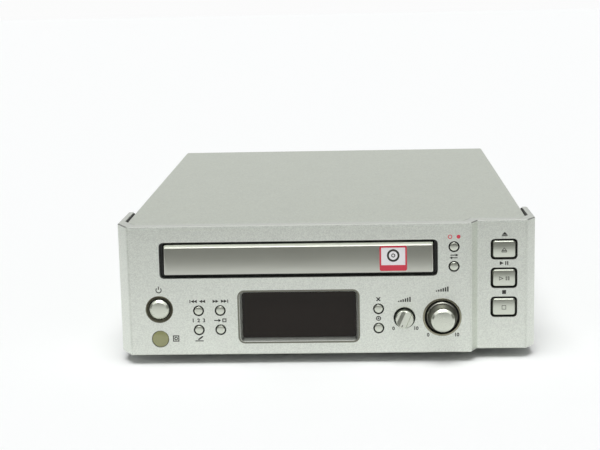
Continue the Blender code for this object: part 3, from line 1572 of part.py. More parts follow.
def make_loader_frame():
    """The moulded frame that guides the tray and carries its drive."""
    inside = FRAME_INSIDE
    wall = FRAME_WALL
    frame = box(
        "frame",
        (MECH_X - FRAME_OUTSIDE, FRAME_START, FLOOR_SEAT),
        (MECH_X + FRAME_OUTSIDE, FRAME_REAR, FRAME_TOP),
    )
    hollow = box(
        "frame_hollow",
        (MECH_X - inside, FRAME_START + wall, FLOOR_SEAT - OVERRUN),
        (MECH_X + inside, FRAME_REAR - wall, FRAME_TOP + OVERRUN),
    )
    mouth = box(
        "frame_mouth",
        (MECH_X - inside, FRAME_START - OVERRUN, RACK_BOTTOM - RUNNING_GAP),
        (MECH_X + inside, FRAME_START + wall + OVERRUN, FRAME_TOP + OVERRUN),
    )
    cut(frame, hollow, mouth)
    for side in (-1, 1):
        add_guides(frame, side)
        add_hinge_block(frame, side)
    add_gear_deck(frame)
    shelf_y = slider_front() - GAP - wall
    shelf_top = slider_bottom() - GAP
    shelf = box(
        "frame_shelf",
        (MECH_X - inside - wall / 2, shelf_y, shelf_top - SHELF_THICK),
        (MECH_X + inside + wall / 2, slider_front() + SLIDER_THICK + RUNNING_GAP, shelf_top),
    )
    lip = box(
        "frame_lip",
        (MECH_X - inside - wall / 2, shelf_y, shelf_top - SHELF_THICK / 2),
        (MECH_X + inside + wall / 2, slider_front() - GAP, shelf_top + SHELF_LIP),
    )
    add(frame, shelf, lip)
    finish(frame, "loader_frame", black_plastic())


def add_guides(frame, side):
    """A ledge under the tray's edge and tabs over it, on one side wall."""
    wall_x = MECH_X + side * (FRAME_INSIDE + FRAME_WALL / 2)
    ledge_x = MECH_X + side * (FRAME_INSIDE - LEDGE_WIDTH)
    top = TRAY_BOTTOM - GAP
    ledge = box(
        "ledge",
        (min(wall_x, ledge_x), FRAME_START + FRAME_WALL / 2, top - LEDGE_THICK),
        (max(wall_x, ledge_x), FRAME_REAR - FRAME_WALL / 2, top),
    )
    add(frame, ledge)
    tab_x = MECH_X + side * (FRAME_INSIDE - TAB_WIDTH)
    for share in TAB_PLACE_SHARES:
        start = FRAME_START + share * FRAME_LENGTH
        tab = box(
            "tab",
            (min(wall_x, tab_x), start, TRAY_TOP + GAP),
            (max(wall_x, tab_x), start + TAB_LENGTH, TRAY_TOP + GAP + TAB_THICK),
        )
        add(frame, tab)


def add_hinge_block(frame, side):
    """A block on a side wall that journals one of the traverse's hinge pins."""
    reach = TRAVERSE_LEFT if side < 0 else TRAVERSE_RIGHT
    inner = MECH_X + side * (reach + RUNNING_GAP)
    outer = MECH_X + side * (FRAME_INSIDE + FRAME_WALL / 2)
    half = HINGE_BLOCK / 2
    block = box(
        "hinge_block",
        (min(inner, outer), HINGE_Y - half, HINGE_Z - half),
        (max(inner, outer), HINGE_Y + half, HINGE_Z + half),
    )
    bore_x = inner + side * HINGE_PIN_LENGTH / 2
    bore = cylinder(
        "hinge_bore",
        (bore_x, HINGE_Y, HINGE_Z),
        HINGE_PIN_RADIUS + GAP,
        HINGE_PIN_LENGTH + 2 * RUNNING_GAP,
        (1, 0, 0),
        SMALL_STEPS,
    )
    add(frame, block)
    cut(frame, bore)


def add_gear_deck(frame):
    """The deck under the tray's gears, with their pins and the motor's shaft hole."""
    left = MECH_X - FRAME_INSIDE
    start = FRAME_START + FRAME_WALL / 2
    deck = box(
        "deck",
        (left - FRAME_WALL / 2, start, DECK_BOTTOM),
        (left + DECK_WIDTH, start + DECK_LENGTH, DECK_TOP),
    )
    centre = (TRAY_GEAR_X, MOTOR_PULLEY_Y, DECK_BOTTOM)
    hole = cylinder("shaft_hole", centre, SHAFT_RADIUS + RUNNING_GAP, OVERRUN * 2, (0, 0, 1))
    add(frame, deck)
    cut(frame, hole)
    height = WHEEL_TOP - DECK_BOTTOM
    for y in (TRAY_GEAR_Y, PULLEY_GEAR_Y):
        centre = (TRAY_GEAR_X, y, DECK_BOTTOM + height / 2)
        add(frame, cylinder("gear_pin", centre, GEAR_PIN_RADIUS, height, (0, 0, 1)))


def bored(obj, radius, low, high):
    """Bores an upright gear or pulley for its pin."""
    height = high - low
    bore = cylinder("bore", (0, 0, low + height / 2), radius, height + 2 * OVERRUN, (0, 0, 1))
    return cut(obj, bore)


def place_upright(obj, x, y, operands):
    """Moves a gear that was built about the z axis, and its operands, to their axis."""
    obj.location = (x, y, 0)
    for operand in operands:
        operand.parent = obj


def operands_of(obj):
    return [m.object for m in obj.modifiers if m.type == "BOOLEAN"]


def make_tray_gear():
    """A wheel with the tray's pinion on top, which meshes with the rack at its left."""
    loop = gear_outline(TRAY_WHEEL_TEETH, WHEEL_MODULE, turn=90.0)
    wheel = flat_plate("tray_gear", [loop], WHEEL_BOTTOM, GEAR_FACE)
    pinion_top = TRAY_BOTTOM - RUNNING_GAP
    pinion = flat_plate(
        "tray_pinion",
        [gear_outline(TRAY_PINION_TEETH, RACK_MODULE, turn=180.0)],
        WHEEL_BOTTOM + GEAR_FACE / 2,
        pinion_top - WHEEL_BOTTOM - GEAR_FACE / 2,
    )
    add(wheel, pinion)
    bored(wheel, GEAR_PIN_RADIUS + GAP, WHEEL_BOTTOM, pinion_top)
    place_upright(wheel, TRAY_GEAR_X, TRAY_GEAR_Y, operands_of(wheel))
    finish(wheel, "tray_gear", white_nylon())


def pulley_profile(radius, low, high):
    """A grooved pulley's closed profile, down its outer side."""
    middle = (low + high) / 2
    half = BELT_GROOVE / 2
    return [
        (0, high),
        (radius, high),
        (radius, middle + half),
        (radius - BELT_GROOVE, middle + half),
        (radius - BELT_GROOVE, middle - half),
        (radius, middle - half),
        (radius, low),
        (0, low),
    ]


def make_pulley_gear():
    """A belt pulley with a pinion on top, which meshes with the tray gear's wheel."""
    pulley = turned("pulley_gear", pulley_profile(PULLEY_RADIUS, PULLEY_BOTTOM, PULLEY_TOP), ROUND_STEPS)
    turn = -90.0 + 180.0 / PULLEY_PINION_TEETH
    pinion = flat_plate(
        "pulley_pinion",
        [gear_outline(PULLEY_PINION_TEETH, WHEEL_MODULE, turn=turn)],
        PULLEY_BOTTOM + PULLEY_FACE / 2,
        WHEEL_TOP - PULLEY_BOTTOM - PULLEY_FACE / 2,
    )
    add(pulley, pinion)
    bored(pulley, GEAR_PIN_RADIUS + GAP, PULLEY_BOTTOM, WHEEL_TOP)
    place_upright(pulley, TRAY_GEAR_X, PULLEY_GEAR_Y, operands_of(pulley))
    finish(pulley, "pulley_gear", white_nylon())


def make_motor_pulley():
    profile = pulley_profile(MOTOR_PULLEY_RADIUS, PULLEY_BOTTOM, PULLEY_TOP)[:-1]
    end = DECK_BOTTOM - GAP - SHAFT_DEPTH
    profile += [(SHAFT_RADIUS, PULLEY_BOTTOM), (SHAFT_RADIUS, end), (0, end)]
    pulley = turned("motor_pulley", profile, SMALL_STEPS)
    pulley.location = (TRAY_GEAR_X, MOTOR_PULLEY_Y, 0)
    finish(pulley, "motor_pulley", white_nylon())


def make_loading_motor():
    """The motor under the deck, bored for the pulley's shaft."""
    top = DECK_BOTTOM - GAP
    bore = SHAFT_RADIUS + GAP
    floor = top - SHAFT_DEPTH - GAP
    profile = [
        (0, floor),
        (bore, floor),
        (bore, top),
        (LOADING_MOTOR_RADIUS, top),
        (LOADING_MOTOR_RADIUS, top - LOADING_MOTOR_LENGTH),
        (0, top - LOADING_MOTOR_LENGTH),
    ]
    motor = turned("loading_motor", profile, SMALL_STEPS)
    motor.location = (TRAY_GEAR_X, MOTOR_PULLEY_Y, 0)
    finish(motor, "loading_motor", zinc_steel())


def belt_loop(inset):
    """The open belt's path round both pulleys, offset outwards by an inset from the groove."""
    large = PULLEY_RADIUS - BELT_GROOVE + inset
    small = MOTOR_PULLEY_RADIUS - BELT_GROOVE + inset
    lean = math.degrees(math.asin((large - small) / BELT_SPAN))
    points = arc((TRAY_GEAR_X, MOTOR_PULLEY_Y), small, lean, 180 - lean, CORNER_STEPS * 2)
    points += arc((TRAY_GEAR_X, PULLEY_GEAR_Y), large, 180 - lean, 360 + lean, FINE_STEPS - CORNER_STEPS)
    return points


def make_drive_belt():
    middle = (PULLEY_TOP + PULLEY_BOTTOM) / 2
    height = BELT_GROOVE - 2 * GAP
    loops = [belt_loop(GAP + BELT_THICK), belt_loop(GAP)]
    belt = flat_plate("drive_belt", loops, middle - height / 2, height)
    finish(belt, "drive_belt", dark_rubber())


# Clamper

def make_clamper_bridge():
    half = BRIDGE_DEPTH / 2
    loops = [
        rectangle(MECH_X - FRAME_OUTSIDE, MECH_X + FRAME_OUTSIDE, DISC_Y - half, DISC_Y + half),
        circle(MECH_X, DISC_Y, BRIDGE_HOLE, ROUND_STEPS),
    ]
    bridge = flat_plate("clamper_bridge", loops, BRIDGE_BOTTOM, BRIDGE_THICK)
    finish(bridge, "clamper_bridge", zinc_steel())


def make_clamper():
    """The clamper hangs by its cap from the bridge's hole."""
    cap_bottom = BRIDGE_BOTTOM + BRIDGE_THICK + GAP
    cap_top = cap_bottom + CLAMPER_CAP_THICK
    disc_top = BRIDGE_BOTTOM - GAP
    profile = [
        (0, cap_top),
        (CLAMPER_CAP_RADIUS, cap_top),
        (CLAMPER_CAP_RADIUS, cap_bottom),
        (CLAMPER_NECK, cap_bottom),
        (CLAMPER_NECK, disc_top),
        (CLAMPER_RADIUS, disc_top),
        (CLAMPER_RADIUS, disc_top - CLAMPER_THICK),
        (HUB_RADIUS + GAP, disc_top - CLAMPER_THICK),
        (HUB_RADIUS - HUB_TAPER, disc_top - CLAMPER_THICK / 2),
        (0, disc_top - CLAMPER_THICK / 2),
    ]
    clamper = turned("clamper", profile, ROUND_STEPS)
    clamper.location = (MECH_X, DISC_Y, 0)
    finish(clamper, "clamper", black_plastic())


# Traverse, built level about its hinge and then tipped down at the front

def make_traverse_pivot():
    """The empty on the hinge's axis; the works that it carries lie tipped at rest."""
    pivot = empty("traverse_pivot", (MECH_X, HINGE_Y, HINGE_Z), ROOT)
    pivot.rotation_euler = (math.radians(TRAVERSE_TILT), 0, 0)
    return pivot


def sled_centre():
    """The lens's place behind the hinge's axis, with the sled at its innermost."""
    return -HINGE_BACK + SLED_INNER


def feed_place():
    """The feed gear's axis, beside the sled's rack."""
    x = SLED_RIGHT + FEED_MODULE * TOOTH_DROP_SHARE + FEED_MODULE * FEED_TEETH / 2
    return x, sled_centre() - SLED_AHEAD + FEED_GEAR_BACK


def rod_span():
    """The guide rods' ends: clear of the sled at both ends of its travel."""
    front = sled_centre() - SLED_AHEAD - RUNNING_GAP - ROD_POST_THICK
    rear = sled_centre() + SLED_BEHIND + SLED_TRAVEL + RUNNING_GAP + ROD_POST_THICK
    return front, rear


def rod_post(x, front):
    """A post on the traverse that holds one end of a guide rod."""
    top = ROD_RAISE + ROD_POST / 2
    post = box(
        "rod_post",
        (x - ROD_POST / 2, front, TRAVERSE_RAISE + TRAVERSE_THICK / 2),
        (x + ROD_POST / 2, front + ROD_POST_THICK, top),
    )
    bore = cylinder(
        "rod_bore",
        (x, front + ROD_POST_THICK / 2, ROD_RAISE),
        ROD_RADIUS + GAP,
        ROD_POST_THICK + OVERRUN,
        (0, 1, 0),
        HIDDEN_STEPS,
    )
    return post, bore


def make_traverse(pivot):
    """The lifting frame: a plate with posts for the rods, hinge pins and a lift pin."""
    feed_x, feed_y = feed_place()
    loops = [
        rectangle(-TRAVERSE_LEFT, TRAVERSE_RIGHT, -TRAVERSE_FRONT, TRAVERSE_REAR),
        circle(feed_x, feed_y, SHAFT_RADIUS + RUNNING_GAP, HIDDEN_STEPS),
    ]
    plate = flat_plate("traverse", loops, TRAVERSE_RAISE, TRAVERSE_THICK)
    rod_front, rod_rear = rod_span()
    bores = []
    for x in (-LEFT_ROD_X, RIGHT_ROD_X):
        for y in (rod_front, rod_rear - ROD_POST_THICK):
            post, bore = rod_post(x, y)
            add(plate, post)
            bores.append(bore)
    cut(plate, merge("rod_bores", bores))
    for side, reach in ((-1, TRAVERSE_LEFT), (1, TRAVERSE_RIGHT)):
        ear_depth = HINGE_BLOCK / 2
        inner = side * (reach - ROD_POST_THICK)
        outer = side * reach
        ear = box(
            "ear",
            (min(inner, outer), -ear_depth, -ear_depth),
            (max(inner, outer), ear_depth, TRAVERSE_RAISE + TRAVERSE_THICK / 2),
        )
        length = HINGE_PIN_LENGTH + ROD_POST_THICK / 2
        pin = cylinder(
            "hinge_pin",
            (side * (reach + HINGE_PIN_LENGTH - length / 2), 0, 0),
            HINGE_PIN_RADIUS,
            length,
            (1, 0, 0),
            SMALL_STEPS,
        )
        add(plate, ear, pin)
    tongue = LIFT_PIN_LENGTH + TRAVERSE_THICK
    lift_pin = cylinder(
        "lift_pin",
        (0, -TRAVERSE_FRONT - LIFT_PIN_LENGTH + tongue / 2, TRAVERSE_RAISE + TRAVERSE_THICK / 2),
        LIFT_PIN_RADIUS,
        tongue,
        (0, 1, 0),
        HIDDEN_STEPS,
    )
    add(plate, lift_pin)
    for operand in operands_of(plate):
        operand.parent = plate
    finish(plate, "traverse", zinc_steel(), pivot)


def make_spindle_motor(pivot):
    seat = TRAVERSE_RAISE + TRAVERSE_THICK + GAP
    top = seat + SPINDLE_MOTOR_HEIGHT
    bore = SHAFT_RADIUS + GAP
    floor = top - SHAFT_DEPTH - GAP
    profile = [
        (0, floor),
        (bore, floor),
        (bore, top),
        (SPINDLE_MOTOR_RADIUS, top),
        (SPINDLE_MOTOR_RADIUS, seat),
        (0, seat),
    ]
    motor = turned("spindle_motor", profile, ROUND_STEPS)
    motor.location = (0, -HINGE_BACK, 0)
    finish(motor, "spindle_motor", zinc_steel(), pivot)


def make_turntable(pivot):
    motor_top = TRAVERSE_RAISE + TRAVERSE_THICK + GAP + SPINDLE_MOTOR_HEIGHT
    low = SEAT_RISE - TURNTABLE_THICK
    profile = [
        (0, SEAT_RISE + HUB_HEIGHT),
        (HUB_RADIUS - HUB_TAPER, SEAT_RISE + HUB_HEIGHT),
        (HUB_RADIUS, SEAT_RISE),
        (TURNTABLE_RADIUS, SEAT_RISE),
        (TURNTABLE_RADIUS, low),
        (SHAFT_RADIUS, low),
        (SHAFT_RADIUS, motor_top - SHAFT_DEPTH),
        (0, motor_top - SHAFT_DEPTH),
    ]
    turntable = turned("turntable", profile, ROUND_STEPS)
    turntable.location = (0, -HINGE_BACK, 0)
    finish(turntable, "turntable", black_plastic(), pivot)


def make_pickup_sled(pivot):
    """The sled: a body bored for both rods, with a rack along its right side."""
    y = sled_centre()
    front = -SLED_AHEAD
    top = SLED_BASE + SLED_THICK
    sled = box("sled", (-SLED_LEFT, front, SLED_BASE), (SLED_RIGHT, SLED_BEHIND, top))
    pitch_x = SLED_RIGHT + FEED_MODULE * TOOTH_DROP_SHARE
    rack_loop = rack_outline(
        FEED_MODULE, LEDGE_WIDTH / 2, pitch_x, front, FEED_RACK_LENGTH, feed_place()[1] - y
    )
    rack = flat_plate("sled_rack", [rack_loop], SLED_BASE, FEED_RACK_THICK)
    add(sled, rack)
    bores = []
    for x in (-LEFT_ROD_X, RIGHT_ROD_X):
        length = SLED_AHEAD + SLED_BEHIND + OVERRUN
        centre = (x, (SLED_BEHIND - SLED_AHEAD) / 2, ROD_RAISE)
        bores.append(cylinder("sled_bore", centre, ROD_RADIUS + GAP, length, (0, 1, 0), HIDDEN_STEPS))
    cut(sled, merge("sled_bores", bores))
    sled.location = (0, y, 0)
    for operand in operands_of(sled):
        operand.parent = sled
    finish(sled, "pickup_sled", black_plastic(), pivot)


def make_pickup_lens(pivot):
    """The lens in its holder, clear of the sled by its focus travel."""
    bottom = SLED_BASE + SLED_THICK + LENS_FOCUS + GAP / 2
    top = SEAT_RISE - DISC_LIFT
    profile = [
        (0, top),
        (LENS_RADIUS * DISH_MIDDLE_SHARE, top - LENS_CROWN * (1 - DISH_FALL_SHARE)),
        (LENS_RADIUS, top - LENS_CROWN),
        (LENS_RADIUS, bottom + LENS_HOLDER_THICK),
        (LENS_HOLDER_RADIUS, bottom + LENS_HOLDER_THICK),
        (LENS_HOLDER_RADIUS, bottom),
        (0, bottom),
    ]
    lens = turned("lens", profile, SMALL_STEPS)
    lens.location = (0, sled_centre(), 0)
    finish(lens, "pickup_lens", lens_glass(), pivot)


def make_guide_rods(pivot):
    front, rear = rod_span()
    for side, x in (("left", -LEFT_ROD_X), ("right", RIGHT_ROD_X)):
        centre = (x, (front + rear) / 2, ROD_RAISE)
        rod = cylinder("rod", centre, ROD_RADIUS, rear - front, (0, 1, 0), HIDDEN_STEPS)
        finish(rod, "guide_rod_" + side, zinc_steel(), pivot)


def make_feed_gear(pivot):
    x, y = feed_place()
    top = SLED_BASE + FEED_RACK_THICK
    gear = flat_plate(
        "feed_gear",
        [gear_outline(FEED_TEETH, FEED_MODULE, turn=180.0)],
        TRAVERSE_RAISE + TRAVERSE_THICK + RUNNING_GAP,
        top - TRAVERSE_RAISE - TRAVERSE_THICK - RUNNING_GAP,
    )
    end = TRAVERSE_RAISE - GAP - SHAFT_DEPTH
    shaft = cylinder("feed_shaft", (0, 0, (top + end) / 2), SHAFT_RADIUS, top - end, (0, 0, 1))
    add(gear, shaft)
    place_upright(gear, x, y, [shaft])
    finish(gear, "feed_gear", white_nylon(), pivot)


def make_feed_motor(pivot):
    x, y = feed_place()
    top = TRAVERSE_RAISE - GAP
    bore = SHAFT_RADIUS + GAP
    floor = top - SHAFT_DEPTH - GAP
    profile = [
        (0, floor),
        (bore, floor),
        (bore, top),
        (FEED_MOTOR_RADIUS, top),
        (FEED_MOTOR_RADIUS, top - FEED_MOTOR_LENGTH),
        (0, top - FEED_MOTOR_LENGTH),
    ]
    motor = turned("feed_motor", profile, SMALL_STEPS)
    motor.location = (x, y, 0)
    finish(motor, "feed_motor", zinc_steel(), pivot)


def lift_pin_height(tilt):
    """The lift pin's height where the slider crosses it, for a tilt in degrees."""
    arm = TRAVERSE_FRONT + LIFT_PIN_LENGTH / 2
    rise = TRAVERSE_RAISE + TRAVERSE_THICK / 2
    return HINGE_Z - arm * math.sin(math.radians(tilt)) + rise * math.cos(math.radians(tilt))


def slider_front():
    return HINGE_Y - TRAVERSE_FRONT - LIFT_PIN_LENGTH / 2 - SLIDER_THICK / 2


def slider_bottom():
    """Low enough to leave a wall under the slot's lower end."""
    return lift_pin_height(TRAVERSE_TILT) - LIFT_SLOT_RADIUS - FRAME_WALL


def make_lift_slider():
    """A plate that slides sideways; its slope lifts the traverse by the lift pin."""
    low = slider_bottom()
    left = MECH_X - SLIDER_TRAVEL - SLIDER_WIDTH / 2 + LIFT_SLOT_RADIUS
    start = (MECH_X, lift_pin_height(TRAVERSE_TILT))
    end = (MECH_X - SLIDER_TRAVEL, lift_pin_height(0))
    loops = [
        rectangle(left, left + SLIDER_WIDTH, low, low + SLIDER_HEIGHT),
        stadium(start, end, LIFT_SLOT_RADIUS),
    ]
    slider = front_plate("lift_slider", loops, slider_front(), SLIDER_THICK)
    finish(slider, "lift_slider", white_nylon())


def make_traverse_unit():
    pivot = make_traverse_pivot()
    make_traverse(pivot)
    make_spindle_motor(pivot)
    make_turntable(pivot)
    make_pickup_sled(pivot)
    make_pickup_lens(pivot)
    make_guide_rods(pivot)
    make_feed_gear(pivot)
    make_feed_motor(pivot)


def parent_cutters():
    """Carries the cutters that were made in build space along with the root."""
    for obj in CUTTERS.objects:
        if obj.parent is None:
            obj.parent = ROOT


def build():
    make_front_panel()
    make_front_subpanel()
    make_top_cover()
    make_bottom_chassis()
    make_rear_panel()
    make_feet()
    make_cover_screws()
    make_display_bezel()
    make_display_window()
    make_display_tube()
    make_round_buttons()
    make_keys()
    make_standby_ring()
    make_sensor_window()
    make_analog_knob()
    make_digital_knob()
    make_knob_dish()
    make_front_board()
    make_key_board()
    make_main_board()
    make_power_transformer()
    make_rca_jacks()
    make_optical_jacks()
    make_power_inlet()
    make_disc_tray()
    make_tray_door()
    make_loader_frame()
    make_tray_gear()
    make_pulley_gear()
    make_motor_pulley()
    make_loading_motor()
    make_drive_belt()
    make_clamper_bridge()
    make_clamper()
    make_lift_slider()
    make_traverse_unit()
    parent_cutters()


build()
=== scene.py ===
import json
import math

import bpy
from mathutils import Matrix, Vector


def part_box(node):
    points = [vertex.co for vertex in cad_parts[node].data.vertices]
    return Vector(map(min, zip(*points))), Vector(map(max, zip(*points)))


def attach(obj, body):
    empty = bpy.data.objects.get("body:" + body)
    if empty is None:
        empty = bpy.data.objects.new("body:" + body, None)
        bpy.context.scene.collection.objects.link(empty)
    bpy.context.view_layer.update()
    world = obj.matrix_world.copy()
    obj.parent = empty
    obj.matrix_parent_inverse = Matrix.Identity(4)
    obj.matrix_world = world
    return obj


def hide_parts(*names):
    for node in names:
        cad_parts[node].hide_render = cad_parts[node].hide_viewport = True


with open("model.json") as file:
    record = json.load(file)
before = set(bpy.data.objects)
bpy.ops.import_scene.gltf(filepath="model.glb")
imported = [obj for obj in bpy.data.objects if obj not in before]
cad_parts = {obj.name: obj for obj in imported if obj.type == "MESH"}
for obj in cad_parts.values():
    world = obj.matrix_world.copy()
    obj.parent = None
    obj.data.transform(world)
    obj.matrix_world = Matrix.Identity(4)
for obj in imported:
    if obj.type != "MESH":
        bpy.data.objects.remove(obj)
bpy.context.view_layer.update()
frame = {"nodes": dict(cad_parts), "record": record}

MM = 0.001


def mm(*rows):
    """Rows of lengths written in millimetres."""
    return [tuple(length * MM for length in row) for row in rows]


# Camera, solved from the outlines of the front and its controls
CAMERA_PLACE = (0.01759044, -0.82984213, 0.204888)
CAMERA_TURN = (1.3822707653, 0.0213996228, 0.0394739695)
CAMERA_LENS = 83.6107
CAMERA_SENSOR = 36.0

# Studio
FLOOR_SIZE = 9.0
FLOOR_WHITE = (0.925, 0.935, 0.935, 1.0)
BACKDROP_GLOW = 0.97
ROOM_FILL = 0.30
SKYLIGHT_STRENGTH = 2.40
SKYLIGHT_SPREAD = math.radians(44)
SKYLIGHT_TURN = (math.radians(11), math.radians(-2), 0)
CARDS = (
    ("front_card", (0.0, -2.6, 0.9), (6.0, 1.8), (math.pi / 2, 0, 0), (0.29, 0.29, 0.27, 1.0)),
    ("front_mat", (0.0, -1.525, 0.001), (3.6, 2.15), (0, 0, 0), (0.12, 0.12, 0.11, 1.0)),
    ("left_mat", (-1.45, 0.3, 0.001), (1.9, 1.7), (0, 0, 0), (0.05, 0.05, 0.045, 1.0)),
    ("right_mat", (1.45, 0.3, 0.001), (1.9, 1.7), (0, 0, 0), (0.05, 0.05, 0.045, 1.0)),
    ("left_card", (-2.4, -0.4, 0.6), (3.2, 1.2), (math.pi / 2, 0, math.pi / 2), (0.24, 0.24, 0.23, 1.0)),
    ("right_card", (2.4, -0.4, 0.6), (3.2, 1.2), (math.pi / 2, 0, -math.pi / 2), (0.28, 0.28, 0.26, 1.0)),
)

# The front's planes
MAIN_FACE_Y = -137.0 * MM
KEY_FACE_Y = -130.5 * MM
PRINT_THICK = 0.05 * MM

# Sides of round pieces, from large to small
FINE = 64
ROUND = 40
SMALL = 24
# How squarely a face or an edge lies that counts as facing a way
FACING = 0.99
SMOOTH_ANGLE = math.radians(38)
FLAT_ANGLE = math.radians(1.0)
# How near counts as the same: to pick a side, to pick a face, to tell two heights apart, to merge corners
NEAR = 0.1 * MM
TOUCH = 0.01 * MM
SAME_HEIGHT = 0.002 * MM
MERGE = 0.001 * MM
FLAT_FACE_WEIGHT = 100

BODIES = frame["record"]["behaviour"]["bodies"]
BODY_OF = {member: body for body, members in BODIES.items() for member in members}
SLOT_OF = {name: node.data.materials[0].name for name, node in frame["nodes"].items()}


# Materials: effects are node groups that a finish chains one after another. Each takes
# a colour, a roughness and a height, and gives them back changed.

def rgb(red, green, blue):
    """A colour written as it should look on screen, from 0 to 255, for a shader's socket."""
    parts = []
    for value in (red, green, blue):
        share = value / 255.0
        parts.append(share / 12.92 if share <= 0.04045 else ((share + 0.055) / 1.055) ** 2.4)
    return (*parts, 1.0)


def node(tree, kind, inputs=None, **settings):
    """Adds a shader node, with values or links for its inputs."""
    made = tree.nodes.new("ShaderNode" + kind)
    for key, value in settings.items():
        setattr(made, key, value)
    for key, value in (inputs or {}).items():
        if isinstance(value, bpy.types.NodeSocket):
            tree.links.new(value, made.inputs[key])
        else:
            made.inputs[key].default_value = value
    return made


def math_node(tree, operation, *values, clamp=False):
    inputs = dict(enumerate(values))
    return node(tree, "Math", inputs, operation=operation, use_clamp=clamp).outputs[0]


def blend_colours(tree, share, first, second):
    mixed = node(tree, "Mix", data_type="RGBA", blend_type="MIX")
    for socket, value in ((mixed.inputs[0], share), (mixed.inputs[6], first), (mixed.inputs[7], second)):
        if isinstance(value, bpy.types.NodeSocket):
            tree.links.new(value, socket)
        else:
            socket.default_value = value
    return mixed.outputs[2]


def effect(name, values):
    """Starts an effect's node group. Returns its tree, its input sockets and its output node."""
    tree = bpy.data.node_groups.new(name, "ShaderNodeTree")
    carried = (("Color", "NodeSocketColor"), ("Roughness", "NodeSocketFloat"), ("Height", "NodeSocketFloat"))
    for label, kind in carried:
        tree.interface.new_socket(label, in_out="INPUT", socket_type=kind)
        tree.interface.new_socket(label, in_out="OUTPUT", socket_type=kind)
    for label, value in values.items():
        socket = tree.interface.new_socket(label, in_out="INPUT", socket_type="NodeSocketFloat")
        socket.default_value = value
    return tree, tree.nodes.new("NodeGroupInput").outputs, tree.nodes.new("NodeGroupOutput").inputs


def hand_on(tree, given, result, **changed):
    """Links an effect's results, and passes on what it didn't change."""
    for label in ("Color", "Roughness", "Height"):
        tree.links.new(changed.get(label, given[label]), result[label])


def object_place(tree, stretch=(1.0, 1.0, 1.0)):
    place = node(tree, "TexCoord").outputs["Object"]
    return node(tree, "Mapping", {"Vector": place, "Scale": stretch}).outputs[0]


def swing(tree, value, amount):
    """A value from 0 to 1 turned into a swing of that amount to both sides of nothing."""
    return math_node(tree, "MULTIPLY", math_node(tree, "SUBTRACT", value, 0.5), amount)


def brighten(tree, colour, change):
    """A colour made lighter or darker by a share that may be below nothing."""
    factor = math_node(tree, "ADD", change, 1.0)
    return node(tree, "VectorMath", {0: colour, "Scale": factor}, operation="SCALE").outputs[0]


def noise(tree, place, scale, detail, roughness=0.5):
    inputs = {"Vector": place, "Scale": scale, "Detail": detail, "Roughness": roughness}
    return node(tree, "TexNoise", inputs).outputs[0]


def added(tree, base, value, share):
    """The base with a share of a value added to it."""
    return math_node(tree, "ADD", base, math_node(tree, "MULTIPLY", value, share))


def wear(tree, given, result, value, colour, rough, depth=None):
    """Hands on an effect whose one value swings the colour and the roughness, and may add height."""
    changed = {"Color": brighten(tree, given["Color"], swing(tree, value, colour)),
               "Roughness": math_node(tree, "ADD", given["Roughness"], swing(tree, value, rough))}
    if depth:
        changed["Height"] = added(tree, given["Height"], value, depth)
    hand_on(tree, given, result, **changed)
    return tree


def ramp(tree, value, low, high, start=0.0, end=1.0):
    """A value's place between low and high, drawn out from start to end."""
    return node(tree, "MapRange", {0: value, 1: low, 2: high, 3: start, 4: end}).outputs[0]


def upward_share(tree):
    """How far a face looks up: 1 where it is level."""
    return node(tree, "SeparateXYZ", {0: node(tree, "NewGeometry").outputs["Normal"]}).outputs[2]


def random_tint(tree, place, scale):
    """A random grey for each cell of a mosaic."""
    cells = node(tree, "TexVoronoi", {"Vector": place, "Scale": scale}, feature="F1")
    return node(tree, "SeparateColor", {0: cells.outputs["Color"]}).outputs[0]


def make_metal_flake():
    """Fine flakes in a silver paint: each catches the light a little differently."""
    tree, given, result = effect("metal_flake", {"Scale": 2200.0, "Amount": 0.12, "Depth": 0.15})
    place = object_place(tree)
    tint = random_tint(tree, place, given["Scale"])
    drift = noise(tree, place, 60.0, 3.0)
    change = math_node(tree, "ADD", swing(tree, tint, given["Amount"]), swing(tree, drift, 0.05))
    height = added(tree, given["Height"], tint, given["Depth"])
    rough = math_node(tree, "ADD", given["Roughness"], swing(tree, tint, 0.10))
    hand_on(tree, given, result, Color=brighten(tree, given["Color"], change), Roughness=rough, Height=height)
    return tree


def make_handling():
    """Faint cloudy marks of hands and wiping, seen mostly in the gloss."""
    tree, given, result = effect("handling", {"Scale": 22.0, "Amount": 0.12, "Shade": 0.03})
    place = object_place(tree)
    cloud = noise(tree, place, given["Scale"], 5.0, 0.62)
    rough = math_node(tree, "ADD", given["Roughness"], swing(tree, cloud, given["Amount"]), clamp=True)
    colour = brighten(tree, given["Color"], swing(tree, cloud, given["Shade"]))
    hand_on(tree, given, result, Color=colour, Roughness=rough)
    return tree


def make_scratches():
    """Sparse hairline scratches in two directions."""
    tree, given, result = effect("scratches", {"Density": 0.5, "Depth": 0.2})
    lines = None
    for stretch in ((30.0, 900.0, 30.0), (700.0, 40.0, 60.0)):
        place = object_place(tree, stretch)
        streak = noise(tree, place, 1.0, 1.0)
        line = ramp(tree, streak, 0.70, 0.76)
        lines = line if lines is None else math_node(tree, "MAXIMUM", lines, line)
    lines = math_node(tree, "MULTIPLY", lines, given["Density"])
    rough = added(tree, given["Roughness"], lines, 0.25)
    height = math_node(tree, "SUBTRACT", given["Height"], math_node(tree, "MULTIPLY", lines, given["Depth"]))
    hand_on(tree, given, result, Roughness=rough, Height=height)
    return tree


def make_brushing():
    """The long fine lines of brushed metal, along x."""
    tree, given, result = effect("brushing", {"Amount": 0.10, "Depth": 0.3})
    place = object_place(tree, (9.0, 2600.0, 2600.0))
    lines = noise(tree, place, 1.0, 4.0, 0.7)
    return wear(tree, given, result, lines, given["Amount"], given["Amount"], given["Depth"])


